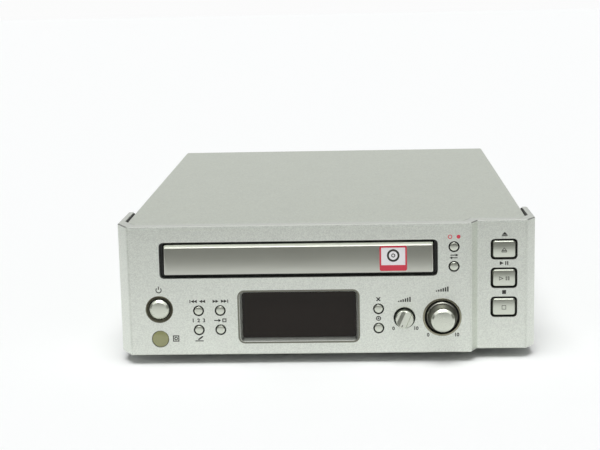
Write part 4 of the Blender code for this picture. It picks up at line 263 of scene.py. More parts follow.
def make_moulded_grain():
    """The fine pebbled skin of a moulded plastic part."""
    tree, given, result = effect("moulded_grain", {"Scale": 1400.0, "Depth": 0.5, "Amount": 0.10})
    place = object_place(tree)
    pebble = noise(tree, place, given["Scale"], 3.0)
    flow = noise(tree, place, 45.0, 2.0)
    colour = brighten(tree, given["Color"], swing(tree, flow, given["Amount"]))
    rough = math_node(tree, "ADD", given["Roughness"], swing(tree, pebble, given["Amount"]))
    height = added(tree, given["Height"], pebble, given["Depth"])
    hand_on(tree, given, result, Color=colour, Roughness=rough, Height=height)
    return tree


def make_spangle():
    """The crystal patches of zinc plated steel."""
    tree, given, result = effect("spangle", {"Scale": 260.0, "Amount": 0.14})
    tint = random_tint(tree, object_place(tree), given["Scale"])
    return wear(tree, given, result, tint, given["Amount"], 0.16)


def make_dust():
    """Pale dust that settles on what faces up."""
    tree, given, result = effect("dust", {"Amount": 0.25})
    upward = upward_share(tree)
    facing_up = ramp(tree, upward, 0.3, 0.95)
    specks = noise(tree, object_place(tree), 420.0, 6.0)
    thick = ramp(tree, specks, 0.42, 0.78, 0.15, 1.0)
    share = math_node(tree, "MULTIPLY", math_node(tree, "MULTIPLY", facing_up, thick), given["Amount"],
                      clamp=True)
    colour = blend_colours(tree, share, given["Color"], rgb(168, 165, 156))
    rough = math_node(tree, "ADD", given["Roughness"], math_node(tree, "MULTIPLY", share, 0.5), clamp=True)
    hand_on(tree, given, result, Color=colour, Roughness=rough)
    return tree


def make_traces():
    """Copper tracks under a board's lacquer: bands of nested squares, and a scatter of pads."""
    tree, given, result = effect("traces", {"Scale": 90.0, "Amount": 0.35, "Depth": 0.4})
    place = object_place(tree)
    fields = node(tree, "TexVoronoi", {"Vector": place, "Scale": given["Scale"]}, feature="F1",
                  distance="CHEBYCHEV")
    bands = math_node(tree, "FRACT", math_node(tree, "MULTIPLY", fields.outputs["Distance"], 6.0))
    track = math_node(tree, "GREATER_THAN", bands, 0.55)
    dots = node(tree, "TexVoronoi", {"Vector": place, "Scale": 420.0}, feature="F1").outputs["Distance"]
    pads = math_node(tree, "LESS_THAN", dots, 0.22)
    copper = math_node(tree, "MAXIMUM", track, pads)
    colour = brighten(tree, given["Color"], math_node(tree, "MULTIPLY", copper, given["Amount"]))
    height = added(tree, given["Height"], copper, given["Depth"])
    hand_on(tree, given, result, Color=colour, Height=height)
    return tree


def make_painted_top_light():
    """Painted highlight on what faces up and on what slopes, or painted shade there where the amount is below
    nothing.
    """
    tree, given, result = effect("painted_top_light", {"Amount": 0.4, "Slope": 0.0})
    upward = upward_share(tree)
    facing_up = ramp(tree, upward, 0.15, 0.8)
    from_slope = math_node(tree, "ABSOLUTE", math_node(tree, "SUBTRACT", upward, 0.7))
    sloping = ramp(tree, from_slope, 0.0, 0.25, 1.0, 0.0)
    change = math_node(tree, "ADD", math_node(tree, "MULTIPLY", facing_up, given["Amount"]),
                       math_node(tree, "MULTIPLY", sloping, given["Slope"]))
    hand_on(tree, given, result, Color=brighten(tree, given["Color"], change))
    return tree


EFFECTS = {
    "painted_top_light": make_painted_top_light(),
    "traces": make_traces(),
    "metal_flake": make_metal_flake(),
    "handling": make_handling(),
    "scratches": make_scratches(),
    "brushing": make_brushing(),
    "moulded_grain": make_moulded_grain(),
    "spangle": make_spangle(),
    "dust": make_dust(),
}


# How high the grain of a finish stands at most
GRAIN_HEIGHT = 0.02 * MM


def finish_material(name, colour, roughness, effects, **shader_values):
    """A finish: a Principled shader fed by its chain of effects."""
    material = bpy.data.materials.new(name)
    material.use_nodes = True
    tree = material.node_tree
    shader = tree.nodes["Principled BSDF"]
    for label, value in shader_values.items():
        shader.inputs[label.replace("_", " ")].default_value = value
    carried = {"Color": colour, "Roughness": roughness, "Height": 0.0}
    for kind, values in effects:
        made = tree.nodes.new("ShaderNodeGroup")
        made.node_tree = EFFECTS[kind]
        for label, value in {**carried, **values}.items():
            if isinstance(value, bpy.types.NodeSocket):
                tree.links.new(value, made.inputs[label])
            else:
                made.inputs[label].default_value = value
        carried = {label: made.outputs[label] for label in ("Color", "Roughness", "Height")}
    tree.links.new(carried["Color"], shader.inputs["Base Color"])
    tree.links.new(carried["Roughness"], shader.inputs["Roughness"])
    bump = node(tree, "Bump", {"Strength": 1.0, "Distance": GRAIN_HEIGHT, "Height": carried["Height"]})
    tree.links.new(bump.outputs[0], shader.inputs["Normal"])
    return material


FINISHES = {
    "satin_silver": finish_material(
        "front_silver_paint", rgb(228, 232, 224), 0.46,
        [("metal_flake", {"Amount": 0.18}), ("handling", {"Amount": 0.06}),
         # Painted shade: darker on the ledges that face up and on the sloping edges, to dim their highlights.
         ("painted_top_light", {"Amount": -0.42, "Slope": -0.42})], Metallic=0.9),
    "door_silver": finish_material(
        "door_satin_metal", rgb(216, 218, 208), 0.31,
        [("brushing", {"Amount": 0.05, "Depth": 0.10}), ("handling", {"Amount": 0.08}),
         # Painted highlight: paler on what faces up, for the bright strip along the door's top edge.
         ("painted_top_light", {"Amount": 0.50})],
        Metallic=1.0),
    "cap_silver": finish_material(
        "cap_satin_metal", rgb(207, 211, 199), 0.28,
        [("brushing", {"Amount": 0.03, "Depth": 0.05}), ("handling", {"Scale": 90.0, "Amount": 0.04}),
         # Painted highlight: paler on what faces up, for the bright crescents along the caps' top edges.
         ("painted_top_light", {"Amount": 0.36})],
        Metallic=1.0),
    "cover_paint": finish_material(
        "cover_metallic_paint", rgb(172, 177, 167), 0.46,
        [("metal_flake", {"Scale": 1700.0, "Amount": 0.26}), ("handling", {"Amount": 0.08}),
         ("scratches", {"Density": 0.15}), ("dust", {"Amount": 0.10})], Metallic=0.6),
    "black_plastic": finish_material(
        "black_moulded_plastic", rgb(30, 31, 30), 0.52,
        [("moulded_grain", {}), ("handling", {}), ("dust", {"Amount": 0.08})]),
    "gloss_black": finish_material(
        "gloss_black_plastic", rgb(26, 27, 24), 0.16,
        [("moulded_grain", {"Depth": 0.1, "Amount": 0.04}), ("handling", {"Scale": 80.0, "Amount": 0.10})]),
    "smoked_acrylic": finish_material(
        "smoked_display_window", rgb(36, 31, 27), 0.10,
        [("handling", {"Scale": 60.0, "Amount": 0.08, "Shade": 0.25}),
         ("scratches", {"Density": 0.2, "Depth": 0.05})],
        IOR=1.27),
    "key_silver": finish_material(
        "key_satin_metal", rgb(207, 211, 199), 0.28,
        [("brushing", {"Amount": 0.03, "Depth": 0.05}), ("handling", {"Scale": 90.0, "Amount": 0.04}),
         # Painted shade: darker on what faces up and on the sloping rims, to dim their highlights.
         ("painted_top_light", {"Amount": -0.25, "Slope": -0.25})], Metallic=1.0),
    "dish_metal": finish_material(
        "olive_dish_metal", rgb(142, 140, 122), 0.28,
        [("handling", {"Scale": 80.0, "Amount": 0.10})], Metallic=1.0),
    # Painted shade: a darker copy of the dish metal, for the shaded ring round the standby cap.
    "painted_shade_dish_metal": finish_material(
        "painted_shade_dish_metal", rgb(112, 110, 96), 0.28,
        [("handling", {"Scale": 80.0, "Amount": 0.10})], Metallic=1.0),
    "skirt_metal": finish_material(
        "grey_skirt_metal", rgb(156, 157, 148), 0.36,
        [("brushing", {"Amount": 0.04, "Depth": 0.05}), ("handling", {"Scale": 80.0, "Amount": 0.08})],
        Metallic=1.0),
    # Painted shadow: the grey of the ring printed round the window's frame, for the dark gap line there.
    "gap_shadow_grey": finish_material(
        "gap_shadow_ring_grey", rgb(112, 112, 100), 0.55, [("moulded_grain", {"Depth": 0.2})]),
    # Painted shade: the black of the strips that stand in for the shadow in the gaps beside the wings.
    "gap_shade_black": finish_material(
        "gap_shade_black", rgb(20, 20, 18), 0.90,
        [("moulded_grain", {"Scale": 2600.0, "Depth": 1.0, "Amount": 0.3})]),
    "sensor_tint": finish_material(
        "sensor_tinted_plastic", rgb(150, 151, 106), 0.20,
        [("handling", {"Scale": 120.0, "Amount": 0.12, "Shade": 0.12})], Coat_Weight=0.4,
        Coat_Roughness=0.08),
    "zinc_steel": finish_material(
        "zinc_plated_steel", rgb(196, 198, 196), 0.34,
        [("spangle", {}), ("scratches", {"Density": 0.5}), ("dust", {"Amount": 0.25})], Metallic=1.0),
    "dark_rubber": finish_material(
        "black_rubber", rgb(34, 34, 33), 0.82,
        [("moulded_grain", {"Scale": 900.0, "Depth": 0.9}), ("dust", {"Amount": 0.35})]),
    "board_green": finish_material(
        "board_laminate", rgb(44, 88, 52), 0.36,
        [("traces", {}), ("moulded_grain", {"Scale": 700.0, "Depth": 0.4, "Amount": 0.16}),
         ("dust", {"Amount": 0.25})]),
    "white_nylon": finish_material(
        "white_nylon", rgb(226, 224, 212), 0.42,
        [("moulded_grain", {"Depth": 0.3, "Amount": 0.05}), ("dust", {"Amount": 0.15})],
        Subsurface_Weight=0.1, Subsurface_Scale=0.002),
    "display_glass": finish_material(
        "display_tube_glass", rgb(84, 92, 92), 0.08,
        [("handling", {"Amount": 0.10})], Coat_Weight=0.6, Coat_Roughness=0.03),
    "lens_glass": finish_material(
        "pickup_lens_glass", rgb(120, 124, 168), 0.05,
        [("handling", {"Scale": 200.0, "Amount": 0.05})], Coat_Weight=1.0, Coat_Roughness=0.02),
    "core_iron": finish_material(
        "transformer_iron", rgb(112, 108, 104), 0.55,
        [("brushing", {"Amount": 0.20, "Depth": 0.6}), ("dust", {"Amount": 0.30})], Metallic=0.7),
    "screw_steel": finish_material(
        "plated_screw_steel", rgb(186, 188, 186), 0.28,
        [("scratches", {"Density": 0.6}), ("handling", {"Scale": 150.0})], Metallic=1.0),
    "socket_white": finish_material(
        "white_socket_plastic", rgb(224, 222, 212), 0.34,
        [("moulded_grain", {"Depth": 0.2, "Amount": 0.04})]),
    "socket_red": finish_material(
        "red_socket_plastic", rgb(178, 38, 34), 0.34, [("moulded_grain", {"Depth": 0.2, "Amount": 0.08})]),
    "capacitor_sleeve": finish_material(
        "capacitor_sleeve", rgb(30, 34, 52), 0.30,
        [("moulded_grain", {"Depth": 0.1}), ("dust", {"Amount": 0.30})]),
    "coil_tape": finish_material(
        "coil_tape", rgb(196, 158, 62), 0.38,
        [("handling", {"Scale": 120.0, "Shade": 0.25}), ("dust", {"Amount": 0.30})]),
    "bare_aluminium": finish_material(
        "bare_aluminium", rgb(198, 200, 200), 0.36,
        [("brushing", {"Amount": 0.10}), ("scratches", {}), ("dust", {"Amount": 0.25})], Metallic=1.0),
    "print_dark": finish_material(
        "dark_grey_print", rgb(44, 44, 40), 0.55, [("moulded_grain", {"Depth": 0.1})]),
    "print_red": finish_material(
        "red_print", rgb(214, 58, 78), 0.45, [("moulded_grain", {"Depth": 0.1})]),
    "sticker_white": finish_material(
        "white_sticker_film", rgb(240, 238, 240), 0.35, [("handling", {"Scale": 120.0})]),
}

for node_name, solid in frame["nodes"].items():
    solid.data.materials[0] = FINISHES[SLOT_OF[node_name]]


# Modelling helpers

def leave_all():
    bpy.ops.object.select_all(action="DESELECT")


def take(*pieces):
    leave_all()
    for piece in pieces:
        piece.select_set(True)
    bpy.context.view_layer.objects.active = pieces[0]


def settle(piece):
    """Puts a piece's place, turn and scale into its mesh."""
    take(piece)
    bpy.ops.object.transform_apply(location=True, rotation=True, scale=True)
    return piece


def pick(piece, kind, wanted):
    """Opens a piece in edit mode with the wanted corners, edges or faces selected."""
    take(piece)
    bpy.ops.object.mode_set(mode="EDIT")
    bpy.ops.mesh.select_mode(type=kind)
    bpy.ops.mesh.select_all(action="DESELECT")
    bpy.ops.object.mode_set(mode="OBJECT")
    mesh = piece.data
    parts = {"VERT": mesh.vertices, "EDGE": mesh.edges, "FACE": mesh.polygons}[kind]
    for part in parts:
        part.select = wanted(part)
    bpy.ops.object.mode_set(mode="EDIT")


def close_edit():
    bpy.ops.object.mode_set(mode="OBJECT")


def every(part):
    """Wants every part of a piece."""
    return True


def bevel_edges(piece, wanted, width, segments):
    """Rounds the wanted edges."""
    pick(piece, "EDGE", wanted)
    bpy.ops.mesh.bevel(offset=width, segments=segments, affect="EDGES")
    close_edit()


def slice_faces(piece, wanted, point, way):
    """Cuts the wanted faces across along a plane."""
    pick(piece, "FACE", wanted)
    bpy.ops.mesh.bisect(plane_co=point, plane_no=way)
    close_edit()


def take_out_faces(piece, wanted):
    pick(piece, "FACE", wanted)
    bpy.ops.mesh.delete(type="FACE")
    close_edit()


def drop(*pieces):
    """Removes pieces that were only there to copy or to cut with."""
    for piece in pieces:
        bpy.data.objects.remove(piece)


def facing(x, y, z):
    """Picks the faces that look that way."""
    way = Vector((x, y, z))
    return lambda face: face.normal.dot(way) > FACING


def edges_along(piece, axis, wanted=lambda middle: True):
    """Picks the edges that run along an axis, where their middle is wanted."""
    corners = piece.data.vertices

    def test(edge):
        first, second = (corners[i].co for i in edge.vertices)
        run = second - first
        return abs(run[axis]) > FACING * run.length and wanted((first + second) / 2)
    return test


def round_bar(name, centre, radius, length, steps, axis="Y"):
    """A round bar along an axis, as a start for a turned piece."""
    turn = {"X": (0, math.pi / 2, 0), "Y": (math.pi / 2, 0, 0), "Z": (0, 0, 0)}[axis]
    leave_all()
    bpy.ops.mesh.primitive_cylinder_add(
        vertices=steps, radius=radius, depth=length, location=centre, rotation=turn)
    piece = bpy.context.object
    piece.name = name
    return settle(piece)


def block(name, low, high):
    """A block between two corners, as a start for a shaped piece."""
    low, high = Vector(low), Vector(high)
    leave_all()
    bpy.ops.mesh.primitive_cube_add(size=1.0, location=(low + high) / 2, scale=high - low)
    piece = bpy.context.object
    piece.name = name
    return settle(piece)


def step_face(piece, way, steps):
    """Insets the end face that looks that way, step by step: how far in, and how far out."""
    pick(piece, "FACE", facing(*way))
    for inward, outward in steps:
        bpy.ops.mesh.inset(thickness=inward, depth=outward)
    close_edit()
    return piece


def total_rise(steps):
    """How far a profile's steps reach out before they sink."""
    return sum(outward for _, outward in steps if outward > 0)


def turned_front(name, x, z, front, back, radius, steps, sides, rear_steps=()):
    """A piece turned about a line along y, its front face shaped by inset steps."""
    start = front + total_rise(steps)
    piece = round_bar(name, (x, (start + back) / 2, z), radius, back - start, sides)
    step_face(piece, (0, -1, 0), steps)
    if rear_steps:
        step_face(piece, (0, 1, 0), rear_steps)
    return piece


def turned_rear(name, x, z, front, back, radius, steps, sides=ROUND):
    """The same with its shaped face to the rear."""
    start = back - total_rise(steps)
    piece = round_bar(name, (x, (front + start) / 2, z), radius, start - front, sides)
    return step_face(piece, (0, 1, 0), steps)


def copied(piece, name, place, turn=(0, 0, 0)):
    """A copy with its own mesh, turned and moved to a place."""
    take(piece)
    bpy.ops.object.duplicate()
    copy = bpy.context.object
    copy.name = name
    copy.rotation_euler = turn
    copy.location = place
    return settle(copy)


def soften(piece, width, segments=2, angle=38.0):
    """Rounds a piece's sharp edges a little, as a tool or a mould leaves them."""
    take(piece)
    rounding = piece.modifiers.new("rounding", "BEVEL")
    rounding.width = width
    rounding.segments = segments
    rounding.limit_method = "ANGLE"
    rounding.angle_limit = math.radians(angle)
    bpy.ops.object.modifier_apply(modifier=rounding.name)
    return piece


def cut_out(piece, tool):
    """Cuts a tool out of a piece and removes the tool."""
    take(piece)
    cutting = piece.modifiers.new("cutting", "BOOLEAN")
    cutting.operation = "DIFFERENCE"
    cutting.object = tool
    bpy.ops.object.modifier_apply(modifier=cutting.name)
    drop(tool)


def set_out(shifts, *parts):
    """Fits numbered copies of parts to the case, one at each shift. A part has its finish and slot."""
    for number, shift in enumerate(shifts, 1):
        for part, finish, slot in parts:
            fit(copied(part, f"{part.name}_{number}", shift), "case", finish, slot=slot)
    drop(*(part for part, _, _ in parts))


def smooth(piece, angle):
    take(piece)
    bpy.ops.object.shade_smooth_by_angle(angle=angle)


def even_shading(piece):
    """Lets the large flat faces rule the shading, so that rounded edges don't bend it."""
    take(piece)
    weighing = piece.modifiers.new("weighing", "WEIGHTED_NORMAL")
    weighing.keep_sharp = True
    weighing.weight = FLAT_FACE_WEIGHT
    bpy.ops.object.modifier_apply(modifier=weighing.name)


def fit(piece, body, finish, *replaced, slot=None, crease=SMOOTH_ANGLE):
    """Gives a piece its finish and the body it rides on, and hides the solids it stands for."""
    smooth(piece, crease)
    even_shading(piece)
    piece.data.materials.clear()
    piece.data.materials.append(FINISHES[finish])
    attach(piece, body)
    slot or (SLOT_OF[replaced[0]] if replaced else finish)
    if replaced:
        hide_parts(*replaced)
    return piece


def joined(name, pieces):
    take(*pieces)
    if len(pieces) > 1:
        bpy.ops.object.join()
    piece = bpy.context.object
    piece.name = name
    return settle(piece)


def dressed(name, solid_name, edge=0.25 * MM, before=None):
    """A copy of a solid with its faces joined, its edges softened and its rounds smooth."""
    solid = frame["nodes"][solid_name]
    piece = bpy.data.objects.new(name, solid.data.copy())
    bpy.context.scene.collection.objects.link(piece)
    pick(piece, "VERT", every)
    bpy.ops.mesh.remove_doubles(threshold=MERGE)
    bpy.ops.mesh.dissolve_limited(angle_limit=FLAT_ANGLE)
    close_edit()
    if before:
        before(piece)
    soften(piece, edge)
    fit(piece, BODY_OF[solid_name], SLOT_OF[solid_name], solid_name)


# The case

FACET_ROUND = 0.8 * MM
FULL_HEIGHT = 60.0 * MM
FACET_FRONT_Y = -129.0 * MM
# Where the black strips of painted gap shade stand: x, y and z ranges in millimetres
GAP_SHADE_STRIP = ((103.3, 104.9), (-119.0, -94.3), (7.5, 72.25))


def round_facets(panel):
    """Rounds the upright edges where the front's facets meet."""
    corners = panel.data.vertices

    def upright(edge):
        first, second = (corners[i].co for i in edge.vertices)
        return abs(first.z - second.z) > FULL_HEIGHT and (first.y + second.y) / 2 < FACET_FRONT_Y
    bevel_edges(panel, upright, FACET_ROUND, segments=3)


def make_case_pieces():
    dressed("front_panel_finished", "front_panel", edge=0.045 * MM, before=round_facets)
    for solid_name in ("top_cover", "rear_panel", "bottom_chassis"):
        dressed(solid_name + "_finished", solid_name)


def make_gap_shade_strips():
    """A black strip between each wing and the cover: painted shade, standing in for the shadow in the gap."""
    xs, ys, zs = ([value * MM for value in pair] for pair in GAP_SHADE_STRIP)
    for side, name in ((-1, "gap_shade_strip_left"), (1, "gap_shade_strip_right")):
        low_x, high_x = sorted(side * x for x in xs)
        shade_strip = block(name, (low_x, ys[0], zs[0]), (high_x, ys[1], zs[1]))
        soften(shade_strip, 0.4 * MM, segments=3)
        fit(shade_strip, "case", "gap_shade_black", slot="dark_rubber")


# The tray's door and its sticker

def bend_front(piece, y, levels, set_back):
    """Cuts a piece's flat front face at some heights and sets each of them back by its own amount."""
    faces_front = facing(0, -1, 0)
    for level in levels:
        slice_faces(piece, lambda face: faces_front(face) and face.center.y < y + NEAR, (0, y, level),
                    (0, 0, 1))
    on_front = [v.index for v in piece.data.vertices if abs(v.co.y - y) < TOUCH]
    heights = sorted({round(piece.data.vertices[i].co.z, 6) for i in on_front})
    for height in heights:
        wanted = {i for i in on_front if abs(piece.data.vertices[i].co.z - height) < SAME_HEIGHT}
        pick(piece, "VERT", lambda v: v.index in wanted)
        bpy.ops.transform.translate(value=(0, set_back(height), 0))
        close_edit()


def spread_levels(low, high, count):
    return [low + (high - low) * i / count for i in range(1, count)]


DOOR_TOP_ROUND = 0.45 * MM
DOOR_FACET = 1.7 * MM
# The top front edge stands less than this behind the foremost line
DOOR_TOP_REACH = 3.2 * MM
DOOR_FACET_SLOPE = math.tan(math.radians(24))
DOOR_SIDE_EDGE = 0.7 * MM
DOOR_LEAN = math.tan(math.radians(11.5))
DOOR_BANDS = 9
DOOR_LOW, DOOR_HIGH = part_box("tray_door")


def door_set_back(z):
    """How far the door's face stands back at a height. It is upright at the foot, leans back more and more
    above, and has a sloping facet along its top."""
    share = max(0.0, z - DOOR_LOW.z) / (DOOR_HIGH.z - DOOR_LOW.z)
    on_facet = max(0.0, z - DOOR_HIGH.z + DOOR_FACET)
    return DOOR_LEAN * share * share * (DOOR_HIGH.z - DOOR_LOW.z) / 2 + DOOR_FACET_SLOPE * on_facet


def make_tray_front():
    low, high = DOOR_LOW, DOOR_HIGH
    piece = block("tray_front", low, high)
    levels = spread_levels(low.z, high.z - DOOR_FACET, DOOR_BANDS) + [high.z - DOOR_FACET]
    bend_front(piece, low.y, levels, door_set_back)
    top_front = edges_along(
        piece, 0, lambda middle: middle.z > high.z - NEAR and middle.y < low.y + DOOR_TOP_REACH)
    bevel_edges(piece, top_front, DOOR_TOP_ROUND, segments=4)
    pick(piece, "FACE", lambda face: abs(face.normal.x) > FACING)
    bpy.ops.mesh.bevel(offset=DOOR_SIDE_EDGE, segments=2, affect="EDGES")
    close_edit()
    fit(piece, "tray", "door_silver", "tray_door", slot="satin_silver", crease=KEY_CREASE)


# The front's controls

def place_of(solid_name):
    """The middle of a control's solid, its foremost and rearmost y, and half its width."""
    low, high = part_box(solid_name)
    return (low.x + high.x) / 2, (low.z + high.z) / 2, low.y, high.y, (high.x - low.x) / 2


SMALL_BUTTONS = ("track_back_button", "track_next_button", "write_button", "input_button",
                 "erase_button", "finalize_button", "record_button", "sync_button")
STEM_RADIUS = 1.3 * MM
CAP_CREASE = math.radians(26)
CAP_BACK_Y = MAIN_FACE_Y + 2.2 * MM
DOMED_CAP = mm((0.08, 0.13), (0.12, 0.09), (0.35, 0.062), (0.45, 0.056), (0.45, 0.035), (0.45, 0.012))


def add_stem(piece, radius, from_radius, length):
    """Draws the switch's stem out of the back of a cap."""
    pick(piece, "FACE", facing(0, 1, 0))
    bpy.ops.mesh.inset(thickness=from_radius - radius, depth=0)
    bpy.ops.mesh.extrude_region_move(TRANSFORM_OT_translate={"value": (0, length, 0)})
    close_edit()


def make_small_buttons():
    """One cap is shaped and copied. Each copy's stem ends at the back of its own solid."""
    first_x, first_z, front, first_back, radius = place_of(SMALL_BUTTONS[0])
    first = turned_front("small_cap", first_x, first_z, front, CAP_BACK_Y, radius, DOMED_CAP, SMALL)
    add_stem(first, STEM_RADIUS, radius, first_back - CAP_BACK_Y)
    for solid_name in SMALL_BUTTONS:
        x, z, _, back, _ = place_of(solid_name)
        cap = copied(first, solid_name + "_cap", (x - first_x, 0, z - first_z))
        for corner in cap.data.vertices:
            if corner.co.y > CAP_BACK_Y + NEAR:
                corner.co.y = back
        fit(cap, BODY_OF[solid_name], "cap_silver", solid_name)
    drop(first)


STANDBY_CAP = mm((0.10, 0.22), (0.55, 0.56), (0.55, 0.46), (0.9, 0.095), (1.0, 0.075), (1.0, 0.045),
                 (0.8, 0.012))


def make_standby():
    x, z, front, back, radius = place_of("standby_button")
    cap = turned_front("standby_cap", x, z, front, CAP_BACK_Y, radius, STANDBY_CAP, FINE)
    add_stem(cap, STEM_RADIUS, radius, back - CAP_BACK_Y)
    fit(cap, "standby_button", "cap_silver", "standby_button", crease=CAP_CREASE)
    ring_piece("standby_dish", "standby_ring", "painted_shade_dish_metal", SUNK_RING)


RING_RISE = 0.06 * MM
RING_FLANGE = 0.12 * MM
RING_GROW = 0.41 * MM
# Profiles of the two rings: one slopes in to its bore, one rises to its inner edge
SUNK_RING = mm((0.12, 0.0), (0.25, -0.15), (0.30, -0.30), (0.30, -0.35), (0.12, 0.10), (0.18, 0.0))
RAISED_RING = mm((0.15, 0.12), (0.60, 0.12), (0.12, 0.0), (0.12, -0.12))


def ring_piece(name, solid_name, finish, profile):
    """A ring that lies a little over the front. Its profile runs from its rim in to its bore."""
    x, z, _, back, outer = place_of(solid_name)
    foot = MAIN_FACE_Y - RING_RISE
    rim = outer + RING_GROW
    inner = rim - sum(inward for inward, _ in profile)
    rear_steps = [(RING_GROW, 0.0), (0.0, back - foot - RING_FLANGE), (outer - inner, 0.0)]
    ring = turned_front(name, x, z, foot - total_rise(profile), foot + RING_FLANGE, rim, profile, FINE,
                        rear_steps)
    open_through(ring, Vector((x, 0, z)))
    fit(ring, BODY_OF[solid_name], finish, solid_name)


def open_through(piece, centre):
    """Opens a piece right through: takes out its front and rear faces and joins their rims."""
    take_out_faces(
        piece, lambda face: abs(face.normal.y) > FACING and (face.center - centre).xz.length < 1 * MM)
    rims = rim_edges(piece)
    pick(piece, "EDGE", lambda edge: edge.key in rims)
    bpy.ops.mesh.bridge_edge_loops()
    close_edit()


def rim_edges(piece):
    """The edges that only one face uses."""
    uses = {}
    for face in piece.data.polygons:
        for key in face.edge_keys:
            uses[key] = uses.get(key, 0) + 1
    return {key for key, count in uses.items() if count == 1}


SENSOR_FACE = mm((0.15, 0.12), (0.30, 0.10), (0.9, 0.16), (0.9, 0.11), (0.9, 0.05), (0.6, 0.01))


def make_sensor():
    x, z, front, back, radius = place_of("sensor_window")
    sensor = turned_front("sensor_lens", x, z, front, back, radius, SENSOR_FACE, FINE)
    fit(sensor, "case", "sensor_tint", "sensor_window")


KEY_CORNER = 1.5 * MM
KEY_CAP_THICK = 2.8 * MM
KEY_RIM = 0.40 * MM
KEY_RIM_DEPTH = 0.95 * MM
KEY_TOP_SLOPE = 0.14 * MM
KEY_LEAN = math.tan(math.radians(8.0))
KEY_FORWARD = math.tan(math.radians(7.0))
KEY_CREASE = math.radians(20)
KEY_BANDS = 12
KEY_STEM_SINK = 0.4 * MM


def key_levels(low, high):
    return spread_levels(low.z + KEY_RIM, high.z - KEY_RIM - KEY_TOP_SLOPE, KEY_BANDS)


def key_set_back(low, high):
    """How far a key's face stands back at a height: a gentle bulge that leans back towards its top."""
    foot, head = low.z + KEY_RIM, high.z - KEY_RIM - KEY_TOP_SLOPE
    turn_share = KEY_FORWARD / (KEY_LEAN + KEY_FORWARD)

    def set_back(z):
        share = (z - foot) / (head - foot) - turn_share
        return (KEY_LEAN + KEY_FORWARD) * (head - foot) * share * share / 2
    return set_back


KEYS = ("open_close_button", "play_pause_button", "stop_button")


def make_keys():
    """One key's cap is shaped and copied: rounded corners, a sloping rim and a bulging face."""
    low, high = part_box(KEYS[0])
    rim_y = low.y + KEY_RIM_DEPTH
    key = block("key_cap", (low.x, rim_y, low.z), (high.x, low.y + KEY_CAP_THICK, high.z))
    bevel_edges(key, edges_along(key, 1), KEY_CORNER, segments=6)
    step_face(key, (0, -1, 0), [(KEY_RIM, KEY_RIM_DEPTH)])
    pick(key, "VERT", lambda v: v.co.y < low.y + TOUCH and v.co.z > high.z - KEY_CORNER)
    bpy.ops.transform.translate(value=(0, 0, -KEY_TOP_SLOPE))
    close_edit()
    bend_front(key, low.y, key_levels(low, high), key_set_back(low, high))
    x, z = (low.x + high.x) / 2, (low.z + high.z) / 2
    stem_front = low.y + KEY_CAP_THICK - KEY_STEM_SINK
    stem = round_bar("stem", (x, (stem_front + high.y) / 2, z), STEM_RADIUS, high.y - stem_front, SMALL)
    key = joined("key_cap", [key, stem])
    for solid_name in KEYS:
        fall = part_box(solid_name)[0].z - low.z
        fit(copied(key, solid_name + "_cap", (0, 0, fall)), BODY_OF[solid_name], "key_silver", solid_name,
            crease=KEY_CREASE)
    drop(key)


KNOB_BACK_Y = MAIN_FACE_Y + 2.4 * MM
SHAFT_RADIUS = 3.0 * MM
ANALOG_EDGE = 0.35 * MM
# The pointer's line: how far it stands in from the rim, and its width and length, in millimetres
POINTER_INSET = 1.2
POINTER_SIZE = (0.4, 1.2)
POINTER_TURN = math.radians(24)
RIDGE_RISE = 1.3 * MM
# Where the ridge's slopes begin and end, across the knob, and how far each line stands back
RIDGE_LINES = ((-2.9, 1.0), (-1.2, 0.0), (1.8, 0.0), (2.4, 1.0))


def make_analog_knob():
    """The small knob: a broad ridge with sloping sides across its face."""
    x, z, front, back, radius = place_of("analog_knob")
    knob = turned_front("analog_knob_cap", x, z, front, KNOB_BACK_Y, radius, [(ANALOG_EDGE, ANALOG_EDGE)],
                        FINE)
    add_stem(knob, SHAFT_RADIUS, radius, back - KNOB_BACK_Y)
    across = Vector((math.cos(POINTER_TURN), 0, -math.sin(POINTER_TURN)))
    middle = Vector((x, front, z))
    for line, _ in RIDGE_LINES:
        slice_faces(knob, lambda face: face.center.y < front + 1.2 * ANALOG_EDGE,
                    middle + line * MM * across, across)

    def set_back(away):
        """The share of the ridge's rise that is missing at a distance across the knob."""
        for (near, near_drop), (far, far_drop) in zip(RIDGE_LINES, RIDGE_LINES[1:]):
            if near <= away <= far:
                return near_drop + (far_drop - near_drop) * (away - near) / (far - near)
        return 1.0
    for corner in knob.data.vertices:
        if corner.co.y < front + ANALOG_EDGE + TOUCH:
            corner.co.y += RIDGE_RISE * set_back((corner.co - middle).dot(across) / MM)
    soften(knob, 0.12 * MM, angle=25)
    fit(knob, "analog_knob", "cap_silver", "analog_knob")
    reach = radius / MM - POINTER_INSET
    tip = (x / MM - reach * math.sin(POINTER_TURN), z / MM - MARK_ZERO - reach * math.cos(POINTER_TURN))
    print_on("analog_pointer_line", "analog_knob", "print_dark",
             [bar(*tip, *POINTER_SIZE, POINTER_TURN, front)])


DIGITAL_FACE = 6.0 * MM
DIGITAL_FOOT_SINK = 0.4 * MM
DIGITAL_FOOT_EDGE = 0.6 * MM
DIGITAL_CROWN = mm((0.12, 0.22), (0.50, 0.48), (0.50, 0.40), (1.0, 0.105), (1.1, 0.085), (1.2, 0.055),
                   (1.0, 0.015))
FLANK_STEPS = 10
CROWN_SINK = 0.6 * MM


